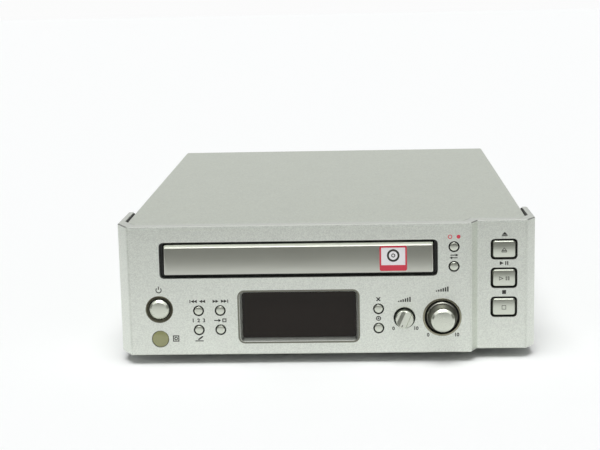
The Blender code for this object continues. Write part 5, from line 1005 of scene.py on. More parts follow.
def make_digital_knob():
    """The large knob: its flank draws in from the flared foot to the face."""
    x, z, front, back, radius = place_of("digital_knob")
    crown_rise = total_rise(DIGITAL_CROWN)
    reach = MAIN_FACE_Y + DIGITAL_FOOT_SINK - front - DIGITAL_FOOT_EDGE - crown_rise
    flare = radius - DIGITAL_FOOT_EDGE - DIGITAL_FACE
    steps = mm((0.20, 0.30), (0.40, 0.30))
    for left in range(FLANK_STEPS, 0, -1):
        near, far = (math.cos(math.pi / 2 * step / FLANK_STEPS) for step in (left, left - 1))
        steps.append((flare * (far - near), reach / FLANK_STEPS))
    crown_foot = front + crown_rise
    skirt = turned_front("digital_knob_skirt", x, z, crown_foot, KNOB_BACK_Y, radius, steps, FINE)
    add_stem(skirt, SHAFT_RADIUS, radius, back - KNOB_BACK_Y)
    fit(skirt, "digital_knob", "skirt_metal", "digital_knob", crease=CAP_CREASE)
    crown = turned_front("digital_knob_crown", x, z, front, crown_foot + CROWN_SINK, DIGITAL_FACE,
                         DIGITAL_CROWN, FINE)
    fit(crown, "digital_knob", "cap_silver", crease=CAP_CREASE)
    ring_piece("knob_dish_ring", "knob_dish", "dish_metal", RAISED_RING)


WINDOW_CORNER = 1.6 * MM
BEZEL_CORNER = 3.0 * MM
BEZEL_GROW = 0.32 * MM
BEZEL_LAND = 0.35 * MM
# The grey ring round the window's frame is painted shadow. These are its reach past each side, its thickness
# and its width.
SHADOW_RING_SIDES = {"left": 0.62 * MM, "right": 0.25 * MM, "top": 0.25 * MM, "bottom": 0.62 * MM}
SHADOW_RING_RISE = 0.05 * MM
SHADOW_RING_WIDTH = 0.85 * MM
BEZEL_SINK = 0.02 * MM
BEZEL_LIP = 0.25 * MM
BEZEL_WALL = 1.15 * MM
BEZEL_RECESS = 3.0 * MM


def make_bezel():
    """The window's frame: a narrow land flush with the front, and walls that draw in to the window."""
    low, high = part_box("display_bezel")
    grow = Vector((BEZEL_GROW, 0, BEZEL_GROW))
    bezel = block("window_bezel", (low.x - BEZEL_GROW, MAIN_FACE_Y + BEZEL_SINK, low.z - BEZEL_GROW),
                  high + grow)
    bevel_edges(bezel, edges_along(bezel, 1), BEZEL_CORNER, segments=10)
    step_face(bezel, (0, -1, 0), [(BEZEL_LAND, 0), (BEZEL_LIP, -BEZEL_LIP),
                                  (BEZEL_WALL - BEZEL_LIP, BEZEL_LIP - BEZEL_RECESS)])
    step_face(bezel, (0, 1, 0), [(BEZEL_LAND + BEZEL_WALL, 0)])
    open_through(bezel, (low + high) / 2)
    fit(bezel, "case", "satin_silver", "display_bezel")
    # A grey ring printed round the frame: painted shadow that stands in for the dark gap line round the
    # window.
    sides = {side: reach + BEZEL_GROW for side, reach in SHADOW_RING_SIDES.items()}
    middle_x = (low.x + high.x + sides["right"] - sides["left"]) / 2 / MM
    middle_z = (low.z + high.z + sides["top"] - sides["bottom"]) / 2 / MM - MARK_ZERO
    width = (high.x - low.x + sides["left"] + sides["right"]) / MM
    height = (high.z - low.z + sides["top"] + sides["bottom"]) / MM
    rim = rounded_bar(middle_x, middle_z, width, height, BEZEL_CORNER / MM + 0.5, MAIN_FACE_Y)
    pick(rim, "FACE", every)
    bpy.ops.mesh.inset(thickness=SHADOW_RING_WIDTH, depth=0)
    bpy.ops.mesh.delete(type="FACE")
    close_edit()
    print_on("window_shadow_ring", "case", "gap_shadow_grey", [rim], SHADOW_RING_RISE)


def make_window():
    low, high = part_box("display_window")
    window = block("window_pane", low, high)
    bevel_edges(window, edges_along(window, 1), WINDOW_CORNER, segments=6)
    step_face(window, (0, -1, 0), mm((0.15, 0.0)))
    soften(window, 0.12 * MM)
    fit(window, "case", "smoked_acrylic", "display_window")


# Printed marks: flat shapes drawn on a face, thickened and put on it as one print. Their places and sizes
# are in millimetres, and their heights start at the front's lower edge, which stands above the floor.

MARK_ZERO = 5.0
DIGIT_SIZE = 1.4
DIGIT_SWELL = 0.10 * MM
SLIVER = 0.03 * MM
# The standby sign's place, and how far above its middle its ring opens
POWER_X, POWER_Z, POWER_OPENING = -86.0, 34.5, 0.85
KEY_SIGN_DROP = 0.2
KEY_SIGN_LINE = 0.26
# How far a key's sign, the sticker's film and the ink on the film lie over the face
SIGN_OVER = 0.01 * MM
FILM_OVER = 0.02 * MM
INK_OVER = 0.03 * MM
SKIP_ARROWS = (-3.1, -1.6, 1.2, 2.7)
WEDGE_HEIGHTS = (0.6, 1.0, 1.4, 1.8, 2.2, 2.6)
WEDGE_PITCH = 1.15
RIGHT, LEFT, UP = math.pi / 2, -math.pi / 2, 0.0


def flat(piece, x, y, z, size=(1, 1), turn=0.0):
    """Stands a flat shape up on a face, scaled and turned, at a mark's x and z."""
    piece.scale = (*size, 1)
    piece.rotation_euler = (math.pi / 2, turn, 0)
    piece.location = (x * MM, y, (z + MARK_ZERO) * MM)
    return settle(piece)


def bar(x, z, width, height, turn=0.0, y=MAIN_FACE_Y):
    leave_all()
    bpy.ops.mesh.primitive_plane_add(size=1)
    return flat(bpy.context.object, x, y, z, (width * MM, height * MM), turn)


def triangle(x, z, width, height, turn, y=MAIN_FACE_Y, hollow=0.0):
    """A triangle that points up before its turn."""
    leave_all()
    bpy.ops.mesh.primitive_circle_add(vertices=3, radius=1, fill_type="NGON")
    piece = bpy.context.object
    piece.location = (0, -0.25, 0)
    piece.scale = (1 / math.sqrt(3), 1 / 1.5, 1)
    settle(piece)
    flat(piece, x, y, z, (width * MM, height * MM), turn)
    if hollow:
        open_middle(piece, hollow)
    return piece


def disc(x, z, radius, y=MAIN_FACE_Y, steps=SMALL, hollow=0.0):
    leave_all()
    bpy.ops.mesh.primitive_circle_add(vertices=steps, radius=radius * MM, fill_type="NGON")
    piece = flat(bpy.context.object, x, y, z)
    if hollow:
        open_middle(piece, hollow)
    return piece


def frame_mark(x, z, width, height, line, y=MAIN_FACE_Y):
    piece = bar(x, z, width, height, 0.0, y)
    return open_middle(piece, line)


def open_middle(piece, line):
    """Leaves only the outline of a flat shape, as wide as the line."""
    pick(piece, "FACE", every)
    bpy.ops.mesh.inset(thickness=line * MM, depth=0)
    bpy.ops.mesh.delete(type="FACE")
    close_edit()
    return piece


def digits(text, x, z, height, y=MAIN_FACE_Y, rearward=False):
    leave_all()
    bpy.ops.object.text_add()
    piece = bpy.context.object
    piece.data.body = text
    piece.data.size = height * MM * DIGIT_SIZE
    piece.data.align_x = "CENTER"
    piece.data.align_y = "CENTER"
    piece.data.resolution_u = 4
    piece.data.offset = DIGIT_SWELL
    bpy.ops.object.convert(target="MESH")
    piece = bpy.context.object
    # the swollen outlines cross in their tightest corners, and this joins the slivers there
    pick(piece, "FACE", every)
    bpy.ops.mesh.remove_doubles(threshold=SLIVER)
    close_edit()
    if rearward:
        piece.rotation_euler = (0, math.pi, 0)
        settle(piece)
    return flat(piece, x, y, z)


def print_on(name, body, ink, shapes, thick=PRINT_THICK):
    """Joins flat shapes into one print, gives it the thickness of ink and fits it."""
    piece = joined(name, shapes)
    take(piece)
    layer = piece.modifiers.new("layer", "SOLIDIFY")
    layer.thickness = thick
    layer.offset = 0
    bpy.ops.object.modifier_apply(modifier=layer.name)
    pick(piece, "FACE", every)
    bpy.ops.mesh.normals_make_consistent(inside=False)
    close_edit()
    return fit(piece, body, ink, slot="black_plastic")


def skip_mark(x, z, way):
    """Two pairs of arrows and a bar, for track skip and search. way is 1 for onwards."""
    turn = RIGHT if way > 0 else LEFT
    shapes = [triangle(x + offset, z, 1.75, 1.7, turn) for offset in SKIP_ARROWS]
    end = 3.75 if way > 0 else -4.15
    shapes.append(bar(x + end, z, 0.48, 1.7))
    return shapes


def wedge(x, z):
    """Six bars that grow to the right, for a level control."""
    middle, foot = (len(WEDGE_HEIGHTS) - 1) / 2, z - WEDGE_HEIGHTS[-1] / 2
    return [bar(x + (i - middle) * WEDGE_PITCH, foot + height / 2, 0.75, height)
            for i, height in enumerate(WEDGE_HEIGHTS)]


def make_front_marks():
    power = disc(POWER_X, POWER_Z, 1.6, hollow=0.5)
    take_out_faces(power, lambda face: face.center.z > (POWER_Z + MARK_ZERO + POWER_OPENING) * MM)
    shapes = [power, bar(POWER_X, POWER_Z + 1.1, 0.5, 1.7)]
    shapes += skip_mark(-65.9, 28.35, -1) + skip_mark(-54.3, 28.35, 1)
    # track numbers, and an arrow into a box for the input
    shapes.append(digits("1  2  3", -65.9, 18.2, 1.9))
    shapes += [frame_mark(-52.6, 18.2, 2.1, 2.0, 0.48), bar(-56.6, 18.2, 2.6, 0.5),
               triangle(-54.9, 18.2, 1.8, 1.3, RIGHT)]
    # a pencil stroke over a line for writing, and a disc beside the sensor
    shapes += [bar(-65.8, 7.4, 4.2, 0.5), bar(-65.0, 9.05, 2.6, 0.75, math.radians(-38)),
               triangle(-66.35, 8.05, 0.75, 0.8, math.radians(-128))]
    shapes += [frame_mark(-77.9, 8.8, 3.3, 3.3, 0.5), disc(-77.9, 8.8, 0.95, hollow=0.5)]
    # a cross for erasing, a disc with its centre for finalizing
    shapes += [bar(26.6, 28.5, 2.7, 0.56, turn) for turn in (math.radians(45), math.radians(-45))]
    shapes += [disc(26.6, 18.4, 1.3, hollow=0.5), disc(26.6, 18.4, 0.45, steps=12)]
    # level wedges and the ends of the two knobs' scales
    shapes += wedge(39.85, 28.2) + wedge(59.1, 33.4)
    shapes += [digits("0", 34.2, 12.9, 1.8), digits("10", 45.7, 12.9, 1.8),
               digits("0", 51.9, 9.3, 1.8), digits("10", 66.5, 9.3, 1.8)]
    # two arrows for the synchronised start
    shapes += [bar(64.7, 51.0, 2.8, 0.46), triangle(66.8, 51.0, 1.4, 1.4, RIGHT),
               bar(65.5, 49.6, 2.8, 0.46), triangle(63.4, 49.6, 1.4, 1.4, LEFT)]
    print_on("front_marks", "case", "print_dark", shapes)
    print_on("record_marks", "case", "print_red",
             [disc(67.4, 60.5, 1.0), disc(63.1, 60.5, 1.1, hollow=0.38)])


def make_key_marks():
    """Small signs over the keys, and outlined ones on their caps."""
    y = KEY_FACE_Y
    signs = [triangle(91.3, 60.75, 2.9, 1.5, UP, y), bar(91.3, 59.4, 2.9, 0.5, 0, y)]
    signs += [triangle(90.0, 45.1, 2.0, 1.9, RIGHT, y), bar(91.9, 45.1, 0.55, 2.0, 0, y),
              bar(92.9, 45.1, 0.55, 2.0, 0, y)]
    signs += [bar(91.15, 29.9, 2.0, 2.0, 0, y)]
    print_on("key_signs", "case", "print_dark", signs)
    for solid_name, cap_signs in (
            ("open_close_button", [("eject", 0, 0.45, 2.7, 1.8), ("bar", 0, -0.95, 2.7, 0.8)]),
            ("play_pause_button", [("play", -1.25, 0, 2.1, 2.3), ("bar", 1.2, 0, 0.72, 1.9),
                                   ("bar", 2.35, 0, 0.72, 1.9)]),
            ("stop_button", [("bar", 0, 0, 2.2, 2.2)])):
        low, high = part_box(solid_name)
        x, z = (low.x + high.x) / 2 / MM, (low.z + high.z) / 2 / MM - MARK_ZERO - KEY_SIGN_DROP
        y = low.y - SIGN_OVER
        shapes = []
        for kind, dx, dz, width, height in cap_signs:
            if kind == "bar":
                shapes.append(frame_mark(x + dx, z + dz, width, height, KEY_SIGN_LINE, y))
            else:
                turn = RIGHT if kind == "play" else UP
                shapes.append(triangle(x + dx, z + dz, width, height, turn, y, hollow=KEY_SIGN_LINE))
        sign = print_on(solid_name + "_sign", BODY_OF[solid_name], "print_dark", shapes)
        lay_on(sign, key_levels(low, high), key_set_back(low, high))


def lay_on(print_piece, levels, set_back):
    """Bends a flat print to a face that stands back by its own amount at each height."""
    for level in levels:
        pick(print_piece, "FACE", every)
        bpy.ops.mesh.bisect(plane_co=(0, 0, level), plane_no=(0, 0, 1))
        close_edit()
    for corner in print_piece.data.vertices:
        corner.co.y += set_back(corner.co.z)


def rounded_bar(x, z, width, height, corner, y, hollow=0.0):
    piece = bar(x, z, width, height, 0, y)
    pick(piece, "VERT", every)
    bpy.ops.mesh.bevel(offset=corner * MM, segments=5, affect="VERTICES")
    close_edit()
    if hollow:
        open_middle(piece, hollow)
    return piece


def make_sticker():
    """A small film sticker on the door: a red frame and band round a plain disc mark."""
    y = DOOR_LOW.y - FILM_OVER
    over = y - INK_OVER
    x, z, width, height = 34.4, 49.55, 13.9, 12.7
    film = print_on("sticker_film", "tray", "sticker_white",
                    [rounded_bar(x, z, width - 0.4, height - 0.4, 0.7, y)])
    red = [rounded_bar(x, z, width, height, 0.9, over, hollow=0.85),
           bar(x, z - 4.45, width - 1.5, 2.1, 0, over)]
    band = print_on("sticker_frame", "tray", "print_red", red)
    mark = print_on("sticker_disc", "tray", "print_dark",
                    [disc(x, z + 1.5, 3.2, over, ROUND, hollow=1.0),
                     disc(x, z + 1.5, 1.0, over, SMALL, hollow=0.42)])
    for print_piece in (film, band, mark):
        lay_on(print_piece, spread_levels(DOOR_LOW.z, DOOR_HIGH.z - DOOR_FACET, DOOR_BANDS), door_set_back)


# The rear, the screws and the feet

REAR_FACE_Y = 136.2 * MM
PHONO_PLACES = ((-68.1, 35.9), (-54.1, 35.9), (-68.1, 21.9), (-54.1, 21.9))
PHONO_BLOCK_REAR = 134.9 * MM
PHONO_RADIUS = 4.2 * MM
SLEEVE_FRONT = 134.0 * MM
PLUG_FRONT = 136.0 * MM
PLUG_SUNK = 1.2 * MM
PLUG_ROOM = 0.02 * MM
COLLAR_RADIUS = 5.5 * MM
COLLAR_RISE = 1.0 * MM
COLLAR_SINK = 0.1 * MM
SLEEVE_WALL = 0.55 * MM
SLEEVE_STEPS = [(0.25 * MM, 0.25 * MM), (SLEEVE_WALL - 0.25 * MM, 0.0), (0.0, -7.5 * MM)]
PLUG_STEPS = mm((1.7, 0.0), (0.3, -0.3), (0.0, -5.0))
COLLAR_STEPS = mm((0.3, 0.3), (0.4, 0.1))


def make_phono_sockets():
    """Four sockets in one block: a metal sleeve, a coloured plug in it and a coloured collar on the panel."""
    low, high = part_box("rca_jacks")
    body = block("phono_block", low, (high.x, PHONO_BLOCK_REAR, high.z))
    soften(body, 0.4 * MM)
    fit(body, "case", "black_plastic", "rca_jacks")
    first_x, first_z = (value * MM for value in PHONO_PLACES[0])
    sleeve = turned_rear("phono_sleeve", first_x, first_z, SLEEVE_FRONT, high.y, PHONO_RADIUS, SLEEVE_STEPS)
    plug = turned_rear("phono_plug", first_x, first_z, PLUG_FRONT, high.y - PLUG_SUNK,
                       PHONO_RADIUS - SLEEVE_WALL - PLUG_ROOM, PLUG_STEPS)
    collar = turned_rear("phono_collar", first_x, first_z, REAR_FACE_Y - COLLAR_SINK,
                         REAR_FACE_Y + COLLAR_RISE, COLLAR_RADIUS, COLLAR_STEPS)
    for number, (x, z) in enumerate(PHONO_PLACES, 1):
        shift = (x * MM - first_x, 0, z * MM - first_z)
        colour = "socket_red" if x == PHONO_PLACES[0][0] else "socket_white"
        for part, finish in ((sleeve, "screw_steel"), (plug, colour), (collar, colour)):
            piece = copied(part, f"{part.name}_{number}", shift)
            fit(piece, "case", finish, slot="screw_steel" if finish == "screw_steel" else "black_plastic")
    drop(sleeve, plug, collar)


OPTICAL_PLACES = ((-24.8, 19.9), (-7.8, 19.9))
SHUTTER_REACH = 3.3 * MM
SHUTTER_FRONT, SHUTTER_REAR = 133.0 * MM, 133.7 * MM
HINGE_Y, HINGE_UP = 133.5 * MM, 3.1 * MM
HINGE_RADIUS, HINGE_LENGTH = 0.45 * MM, 6.8 * MM
OPTICAL_RIM_REACH = 5.2 * MM
OPTICAL_RIM_FRONT, OPTICAL_RIM_RISE = 135.3 * MM, 0.9 * MM
OPTICAL_RIM_CORNER = 0.8 * MM


def make_optical_sockets():
    """The two optical sockets: a hinged shutter and a rim for one, copied to the other."""
    dressed("optical_block", "optical_jacks", edge=0.15 * MM)
    x, z = (value * MM for value in OPTICAL_PLACES[0])
    reach = SHUTTER_REACH
    shutter = block("shutter", (x - reach, SHUTTER_FRONT, z - reach), (x + reach, SHUTTER_REAR, z + reach))
    step_face(shutter, (0, 1, 0), mm((0.5, 0.25), (1.1, 0.0), (0.25, -0.3)))
    soften(shutter, 0.08 * MM)
    hinge = round_bar("hinge", (x, HINGE_Y, z + HINGE_UP), HINGE_RADIUS, HINGE_LENGTH, SMALL, "X")
    shutter = joined("optical_shutter", [shutter, hinge])
    reach = OPTICAL_RIM_REACH
    rim = block("optical_rim", (x - reach, OPTICAL_RIM_FRONT, z - reach),
                (x + reach, REAR_FACE_Y + OPTICAL_RIM_RISE, z + reach))
    bevel_edges(rim, edges_along(rim, 1), OPTICAL_RIM_CORNER, segments=4)
    step_face(rim, (0, 1, 0), mm((1.5, 0.0), (0.2, -0.2), (0.0, -1.4)))
    open_through(rim, Vector((x, 0, z)))
    shifts = [(place_x * MM - x, 0, place_z * MM - z) for place_x, place_z in OPTICAL_PLACES]
    set_out(shifts, (shutter, "gloss_black", None), (rim, "gloss_black", "black_plastic"))


INLET_CENTRE = (76.368, 29.6)
INLET_PIN_PITCH = 8.6
INLET_PIN_SPAN = (127.1, 136.2)
INLET_PIN_RADIUS = 1.27 * MM


def make_inlet():
    dressed("inlet_housing", "power_inlet", edge=0.35 * MM)
    front, back = (value * MM for value in INLET_PIN_SPAN)
    for number, side in enumerate((-1, 1), 1):
        x = (INLET_CENTRE[0] + side * INLET_PIN_PITCH / 2) * MM
        pin = turned_rear(f"inlet_pin_{number}", x, INLET_CENTRE[1] * MM, front, back, INLET_PIN_RADIUS,
                          mm((0.2, 0.35), (0.4, 0.25), (0.4, 0.05)), SMALL)
        fit(pin, "case", "screw_steel")


# A pan head's profile, in shares of its radius and rise, and its recess
PAN_HEAD = ((0.10, 0.22), (0.14, 0.14), (0.22, 0.10), (0.22, 0.04))
RECESS_ARM = 0.16
RECESS_FLOOR = 0.38
# Each screw's head radius and rise, shank radius and length, and recess width, in millimetres
REAR_SCREW = (2.5, 1.4, 1.2, 1.5, 2.8)
SIDE_SCREW = (3.0, 1.88, 1.4, 3.4, 3.4)
FOOT_SCREW = (2.7, 1.2, 1.2, 1.0, 2.8)
# How far a side screw's seat lies in from the outer end of its solid
SIDE_SCREW_SEAT = 1.9 * MM


def cross_screw(name, size):
    """A pan head screw that stands up along z, its cross recess cut into the head."""
    radius, rise, shank_radius, shank, recess = (length * MM for length in size)
    head = round_bar(name, (0, 0, rise / 4), radius, rise / 2, ROUND, "Z")
    step_face(head, (0, 0, 1), [(inward * radius, upward * rise) for inward, upward in PAN_HEAD])
    step_face(head, (0, 0, -1), [(radius - shank_radius, 0.0), (0.0, shank),
                                 (0.3 * shank_radius, 0.3 * shank_radius)])
    for half_x, half_y in ((recess / 2, recess * RECESS_ARM), (recess * RECESS_ARM, recess / 2)):
        cut_out(head, block("tool", (-half_x, -half_y, RECESS_FLOOR * rise), (half_x, half_y, 2 * rise)))
    return soften(head, 0.05 * MM, segments=1, angle=50)


REAR_SCREWS = ((-95.0, 66.0), (-32.0, 66.0), (32.0, 66.0), (95.0, 66.0), (-95.0, 12.5), (20.0, 12.5),
               (95.0, 12.5), (-61.1, 28.9), (-16.3, 12.0))
# Each rear screw stands turned by this much more than the one before
SCREW_TURN = 0.4


def make_screws():
    small = cross_screw("rear_screw", REAR_SCREW)
    for number, (x, z) in enumerate(REAR_SCREWS, 1):
        turn = (-math.pi / 2, SCREW_TURN * number, 0)
        piece = copied(small, f"rear_screw_{number}", (x * MM, REAR_FACE_Y, z * MM), turn)
        fit(piece, "case", "screw_steel")
    drop(small)
    large = cross_screw("side_screw", SIDE_SCREW)
    for solid_name in ("cover_screw_front_left", "cover_screw_front_right",
                       "cover_screw_rear_left", "cover_screw_rear_right"):
        low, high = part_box(solid_name)
        middle = (low + high) / 2
        side = 1 if middle.x > 0 else -1
        face_x = (high.x if side > 0 else low.x) - side * SIDE_SCREW_SEAT
        piece = copied(large, solid_name + "_head", (face_x, middle.y, middle.z), (0, side * math.pi / 2, 0))
        fit(piece, "case", "screw_steel", solid_name)
    drop(large)


FEET = ("foot_front_left", "foot_front_right", "foot_rear_left", "foot_rear_right")
FOOT_EDGE = 0.9 * MM
FOOT_SCREW_Z = 2.0 * MM


def make_feet():
    """One rubber foot is shaped and copied: a rounded rim, rings of tread and a screw in its middle."""
    low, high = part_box(FEET[0])
    x, y = (low.x + high.x) / 2, (low.y + high.y) / 2
    foot = round_bar("foot_rubber", (x, y, (high.z + FOOT_EDGE) / 2), (high.x - low.x) / 2,
                     high.z - FOOT_EDGE, FINE, "Z")
    step_face(foot, (0, 0, -1), mm((0.20, 0.40), (0.30, 0.30), (0.5, 0.2), (1.3, 0.0), (0.25, -0.5),
                                   (0.6, 0.0), (0.25, 0.5), (1.2, 0.0), (0.3, -2.0)))
    screw = cross_screw("foot_screw", FOOT_SCREW)
    for solid_name in FEET:
        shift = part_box(solid_name)[0] - low
        fit(copied(foot, solid_name + "_rubber", shift), "case", "dark_rubber", solid_name)
        place = (x + shift.x, y + shift.y, FOOT_SCREW_Z)
        fit(copied(screw, solid_name + "_screw", place, (math.pi, 0, 0)), "case", "screw_steel")
    drop(foot, screw)


def make_rear_marks():
    """Plain numbers and arrows by the sockets."""
    y = REAR_FACE_Y
    shapes = [digits("1", -78.6, 30.9, 3.0, y, True), digits("2", -78.6, 16.9, 3.0, y, True)]
    shapes += [bar(-61.1, 39.9, 3.6, 0.6, 0, y), triangle(-63.6, 39.9, 1.8, 1.8, LEFT, y)]
    shapes += [bar(-61.1, 7.9, 3.6, 0.6, 0, y), triangle(-58.6, 7.9, 1.8, 1.8, RIGHT, y)]
    for x, turn, ahead in ((-24.8, LEFT, -2.4), (-7.8, RIGHT, 2.4)):
        shapes += [bar(x, 24.6, 3.6, 0.6, 0, y), triangle(x + ahead, 24.6, 1.8, 1.8, turn, y)]
    # a wave in a ring, for alternating current
    shapes += [disc(INLET_CENTRE[0], 45.5, 2.6, y, ROUND, hollow=0.4)]
    shapes += [bar(INLET_CENTRE[0] + i * 0.36, 45.5 + 0.8 * math.sin(i * math.pi / 4), 0.5, 0.75, 0, y)
               for i in range(-4, 5)]
    shapes += [frame_mark(-61.1, 23.9, 29.0, 27.6, 0.35, y)]
    print_on("rear_marks", "case", "print_dark", shapes)


# The boards, the power supply and the works

MAIN_BOARD_LOW, MAIN_BOARD_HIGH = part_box("main_board")
CAPACITOR_SHARES = ((0.60, 0.30), (0.72, 0.30), (0.84, 0.30))
CHIP_SHARES = ((0.12, 0.32), (0.34, 0.32))
HEATSINK_SHARE = (0.72, 0.62)
BOARD_TOP_Z = 13.5 * MM
# A can's sleeve and its bare top: radius, length, and the height of its middle over the board
CAN_SLEEVE = (6.15 * MM, 20.3 * MM, 10.0 * MM)
CAN_TOP = (5.2 * MM, 0.6 * MM, 20.1 * MM)
CHIP_REACH = 7.1 * MM
CHIP_THICK = 2.3 * MM
LEGS_PER_SIDE = 12
LEG_PITCH = 1.05 * MM
LEG_WIDTH = 0.4 * MM
# How far a leg reaches under and past its chip, and how high its under and upper sides lie over the board
LEG_UNDER, LEG_PAST = 0.1 * MM, 1.9 * MM
LEG_LOW, LEG_HIGH = 0.05 * MM, 0.35 * MM
FIN_COUNT = 9
FIN_PITCH = 4.1 * MM
# Half a fin and half the web between the fins, along x and y, and their heights
FIN = (0.6 * MM, 6.5 * MM, 23.8 * MM)
WEB = (17.1 * MM, 4.6 * MM, 24.1 * MM)
# The coil's wrap: how far past the core, half its length and height, and its corners
WRAP_PAST, WRAP_HALF_Y, WRAP_HALF_Z = 0.15 * MM, 13.0 * MM, 12.5 * MM
WRAP_CORNER = 2.0 * MM


def on_main_board(shares):
    low, high = MAIN_BOARD_LOW, MAIN_BOARD_HIGH
    return low.x + shares[0] * (high.x - low.x), low.y + shares[1] * (high.y - low.y)


def board_shifts(places):
    """How far each place on the main board lies from the first."""
    first_x, first_y = on_main_board(places[0])
    return [(x - first_x, y - first_y, 0) for x, y in map(on_main_board, places)]


def board_bar(name, x, y, radius, length, middle):
    return round_bar(name, (x, y, BOARD_TOP_Z + middle), radius, length, ROUND, "Z")


def board_block(name, x, y, half_x, half_y, height):
    return block(name, (x - half_x, y - half_y, BOARD_TOP_Z), (x + half_x, y + half_y, BOARD_TOP_Z + height))


def make_capacitors():
    """A sleeve and a bare top over each of the main board's cans."""
    x, y = on_main_board(CAPACITOR_SHARES[0])
    can = board_bar("capacitor", x, y, *CAN_SLEEVE)
    step_face(can, (0, 0, 1), mm((0.3, 0.3), (0.5, 0.0), (0.15, -0.15)))
    top = board_bar("capacitor_top", x, y, *CAN_TOP)
    step_face(top, (0, 0, 1), mm((0.4, 0.15), (1.6, 0.02)))
    set_out(board_shifts(CAPACITOR_SHARES), (can, "capacitor_sleeve", "gloss_black"),
            (top, "bare_aluminium", "zinc_steel"))


def make_chips():
    """A moulded cap over each of the main board's chips, and its legs on four sides."""
    x, y = on_main_board(CHIP_SHARES[0])
    reach = CHIP_REACH
    chip = board_block("chip", x, y, reach, reach, CHIP_THICK)
    step_face(chip, (0, 0, 1), mm((0.35, 0.35), (0.8, 0.0)))
    start = x - (LEGS_PER_SIDE - 1) / 2 * LEG_PITCH
    leg = block("leg", (start - LEG_WIDTH / 2, y + reach - LEG_UNDER, BOARD_TOP_Z + LEG_LOW),
                (start + LEG_WIDTH / 2, y + reach + LEG_PAST, BOARD_TOP_Z + LEG_HIGH))
    row = [leg] + [copied(leg, "leg", (i * LEG_PITCH, 0, 0)) for i in range(1, LEGS_PER_SIDE)]
    row = joined("row", row)
    sides = [row]
    for quarter in (1, 2, 3):
        side = copied(row, "row", (0, 0, 0))
        take(side)
        bpy.ops.transform.rotate(value=quarter * math.pi / 2, orient_axis="Z",
                                 center_override=(x, y, BOARD_TOP_Z))
        sides.append(settle(side))
    legs = joined("chip_legs", sides)
    set_out(board_shifts(CHIP_SHARES), (chip, "black_plastic", None), (legs, "screw_steel", None))


def make_heat_sink():
    x, y = on_main_board(HEATSINK_SHARE)
    start = x - (FIN_COUNT - 1) / 2 * FIN_PITCH
    fin = board_block("fin", start, y, *FIN)
    fins = [fin] + [copied(fin, "fin", (i * FIN_PITCH, 0, 0)) for i in range(1, FIN_COUNT)]
    sink = joined("heat_sink", [board_block("web", x, y, *WEB)] + fins)
    soften(sink, 0.15 * MM)
    fit(sink, "case", "bare_aluminium", slot="zinc_steel")


def make_transformer():
    dressed("transformer_core", "power_transformer", edge=0.4 * MM)
    low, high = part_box("power_transformer")
    centre = (low + high) / 2
    wrap = block("coil_wrap", (low.x - WRAP_PAST, centre.y - WRAP_HALF_Y, centre.z - WRAP_HALF_Z),
                 (high.x + WRAP_PAST, centre.y + WRAP_HALF_Y, centre.z + WRAP_HALF_Z))
    bevel_edges(wrap, edges_along(wrap, 1), WRAP_CORNER, segments=5)
    soften(wrap, 0.3 * MM)
    fit(wrap, "case", "coil_tape", slot="core_iron")


SOFT_EDGES = {
    "front_subpanel": 0.15, "disc_tray": 0.25, "loader_frame": 0.25, "clamper_bridge": 0.12, "clamper": 0.15,
    "traverse": 0.2, "lift_slider": 0.12, "pickup_sled": 0.15, "turntable": 0.12, "loading_motor": 0.2,
    "spindle_motor": 0.12, "feed_motor": 0.15, "display_tube": 0.2, "drive_belt": 0.12, "pickup_lens": 0.1,
    "tray_gear": 0.06, "pulley_gear": 0.06, "motor_pulley": 0.06, "feed_gear": 0.05,
    "guide_rod_left": 0.12, "guide_rod_right": 0.12, "front_board": 0.06, "key_board": 0.06,
    "main_board": 0.06,
}


def make_works():
    for solid_name, edge in SOFT_EDGES.items():
        dressed(solid_name + "_finished", solid_name, edge=edge * MM)


# Camera, light and floor

def set_camera():
    leave_all()
    bpy.ops.object.camera_add(location=CAMERA_PLACE, rotation=CAMERA_TURN)
    camera = bpy.context.object
    camera.name = "photo_camera"
    camera.data.lens = CAMERA_LENS
    camera.data.sensor_width = CAMERA_SENSOR
    camera.data.sensor_fit = "HORIZONTAL"
    bpy.context.scene.camera = camera


def seen_directly(tree):
    """1 for rays from the camera and for those that come by a mirror or through glass."""
    path = node(tree, "LightPath").outputs
    some = math_node(tree, "MAXIMUM", path["Is Camera Ray"], path["Is Glossy Ray"])
    return math_node(tree, "MAXIMUM", some, path["Is Transmission Ray"])


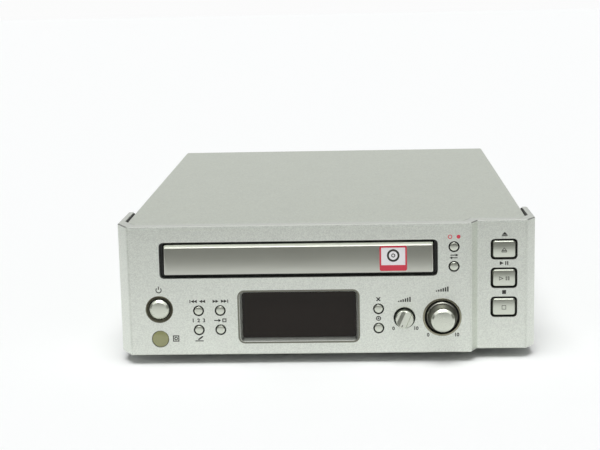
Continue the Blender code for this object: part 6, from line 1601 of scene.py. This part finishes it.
def plain_paper(name, colour, roughness):
    """A plain matt paper, and its shader."""
    paper = bpy.data.materials.new(name)
    paper.use_nodes = True
    shader = paper.node_tree.nodes["Principled BSDF"]
    shader.inputs["Base Color"].default_value = colour
    shader.inputs["Roughness"].default_value = roughness
    return paper, shader


def make_floor():
    leave_all()
    bpy.ops.mesh.primitive_plane_add(size=FLOOR_SIZE, location=(0, 0, 0))
    floor = bpy.context.object
    floor.name = "studio_floor"
    paper, shader = plain_paper("white_paper", FLOOR_WHITE, 0.9)
    shader.inputs["Specular IOR Level"].default_value = 0.1
    floor.data.materials.append(paper)


def make_room_light():
    world = bpy.data.worlds.new("studio_room")
    bpy.context.scene.world = world
    world.use_nodes = True
    tree = world.node_tree
    background = tree.nodes["Background"]
    background.inputs["Color"].default_value = (1.0, 1.0, 1.0, 1.0)
    seen = seen_directly(tree)
    strength = ramp(tree, seen, 0.0, 1.0, ROOM_FILL, BACKDROP_GLOW)
    tree.links.new(strength, background.inputs["Strength"])


def make_skylight():
    """One wide soft light from above, a little in front."""
    leave_all()
    bpy.ops.object.light_add(type="SUN", location=(0, 0, 2), rotation=SKYLIGHT_TURN)
    lamp = bpy.context.object
    lamp.name = "skylight"
    lamp.data.energy = SKYLIGHT_STRENGTH
    lamp.data.angle = SKYLIGHT_SPREAD


def make_cards():
    """Dark cards round the set and a mat before it, out of the picture, for the silver to reflect."""
    for name, centre, size, turn, grey in CARDS:
        leave_all()
        bpy.ops.mesh.primitive_plane_add(size=1, location=centre, rotation=turn)
        card = bpy.context.object
        card.name = name
        card.scale = (*size, 1)
        card.data.materials.append(plain_paper(name + "_felt", grey, 1.0)[0])
        card.visible_camera = False
        card.visible_shadow = False
        card.visible_diffuse = False


set_camera()
make_floor()
make_room_light()
make_skylight()
make_cards()
make_case_pieces()
make_gap_shade_strips()
make_tray_front()
make_small_buttons()
make_standby()
make_sensor()
make_keys()
make_analog_knob()
make_digital_knob()
make_bezel()
make_window()
make_front_marks()
make_key_marks()
make_sticker()
make_phono_sockets()
make_optical_sockets()
make_inlet()
make_screws()
make_feet()
make_rear_marks()
make_capacitors()
make_chips()
make_heat_sink()
make_transformer()
make_works()

bpy.context.scene.view_settings.view_transform = "Standard"
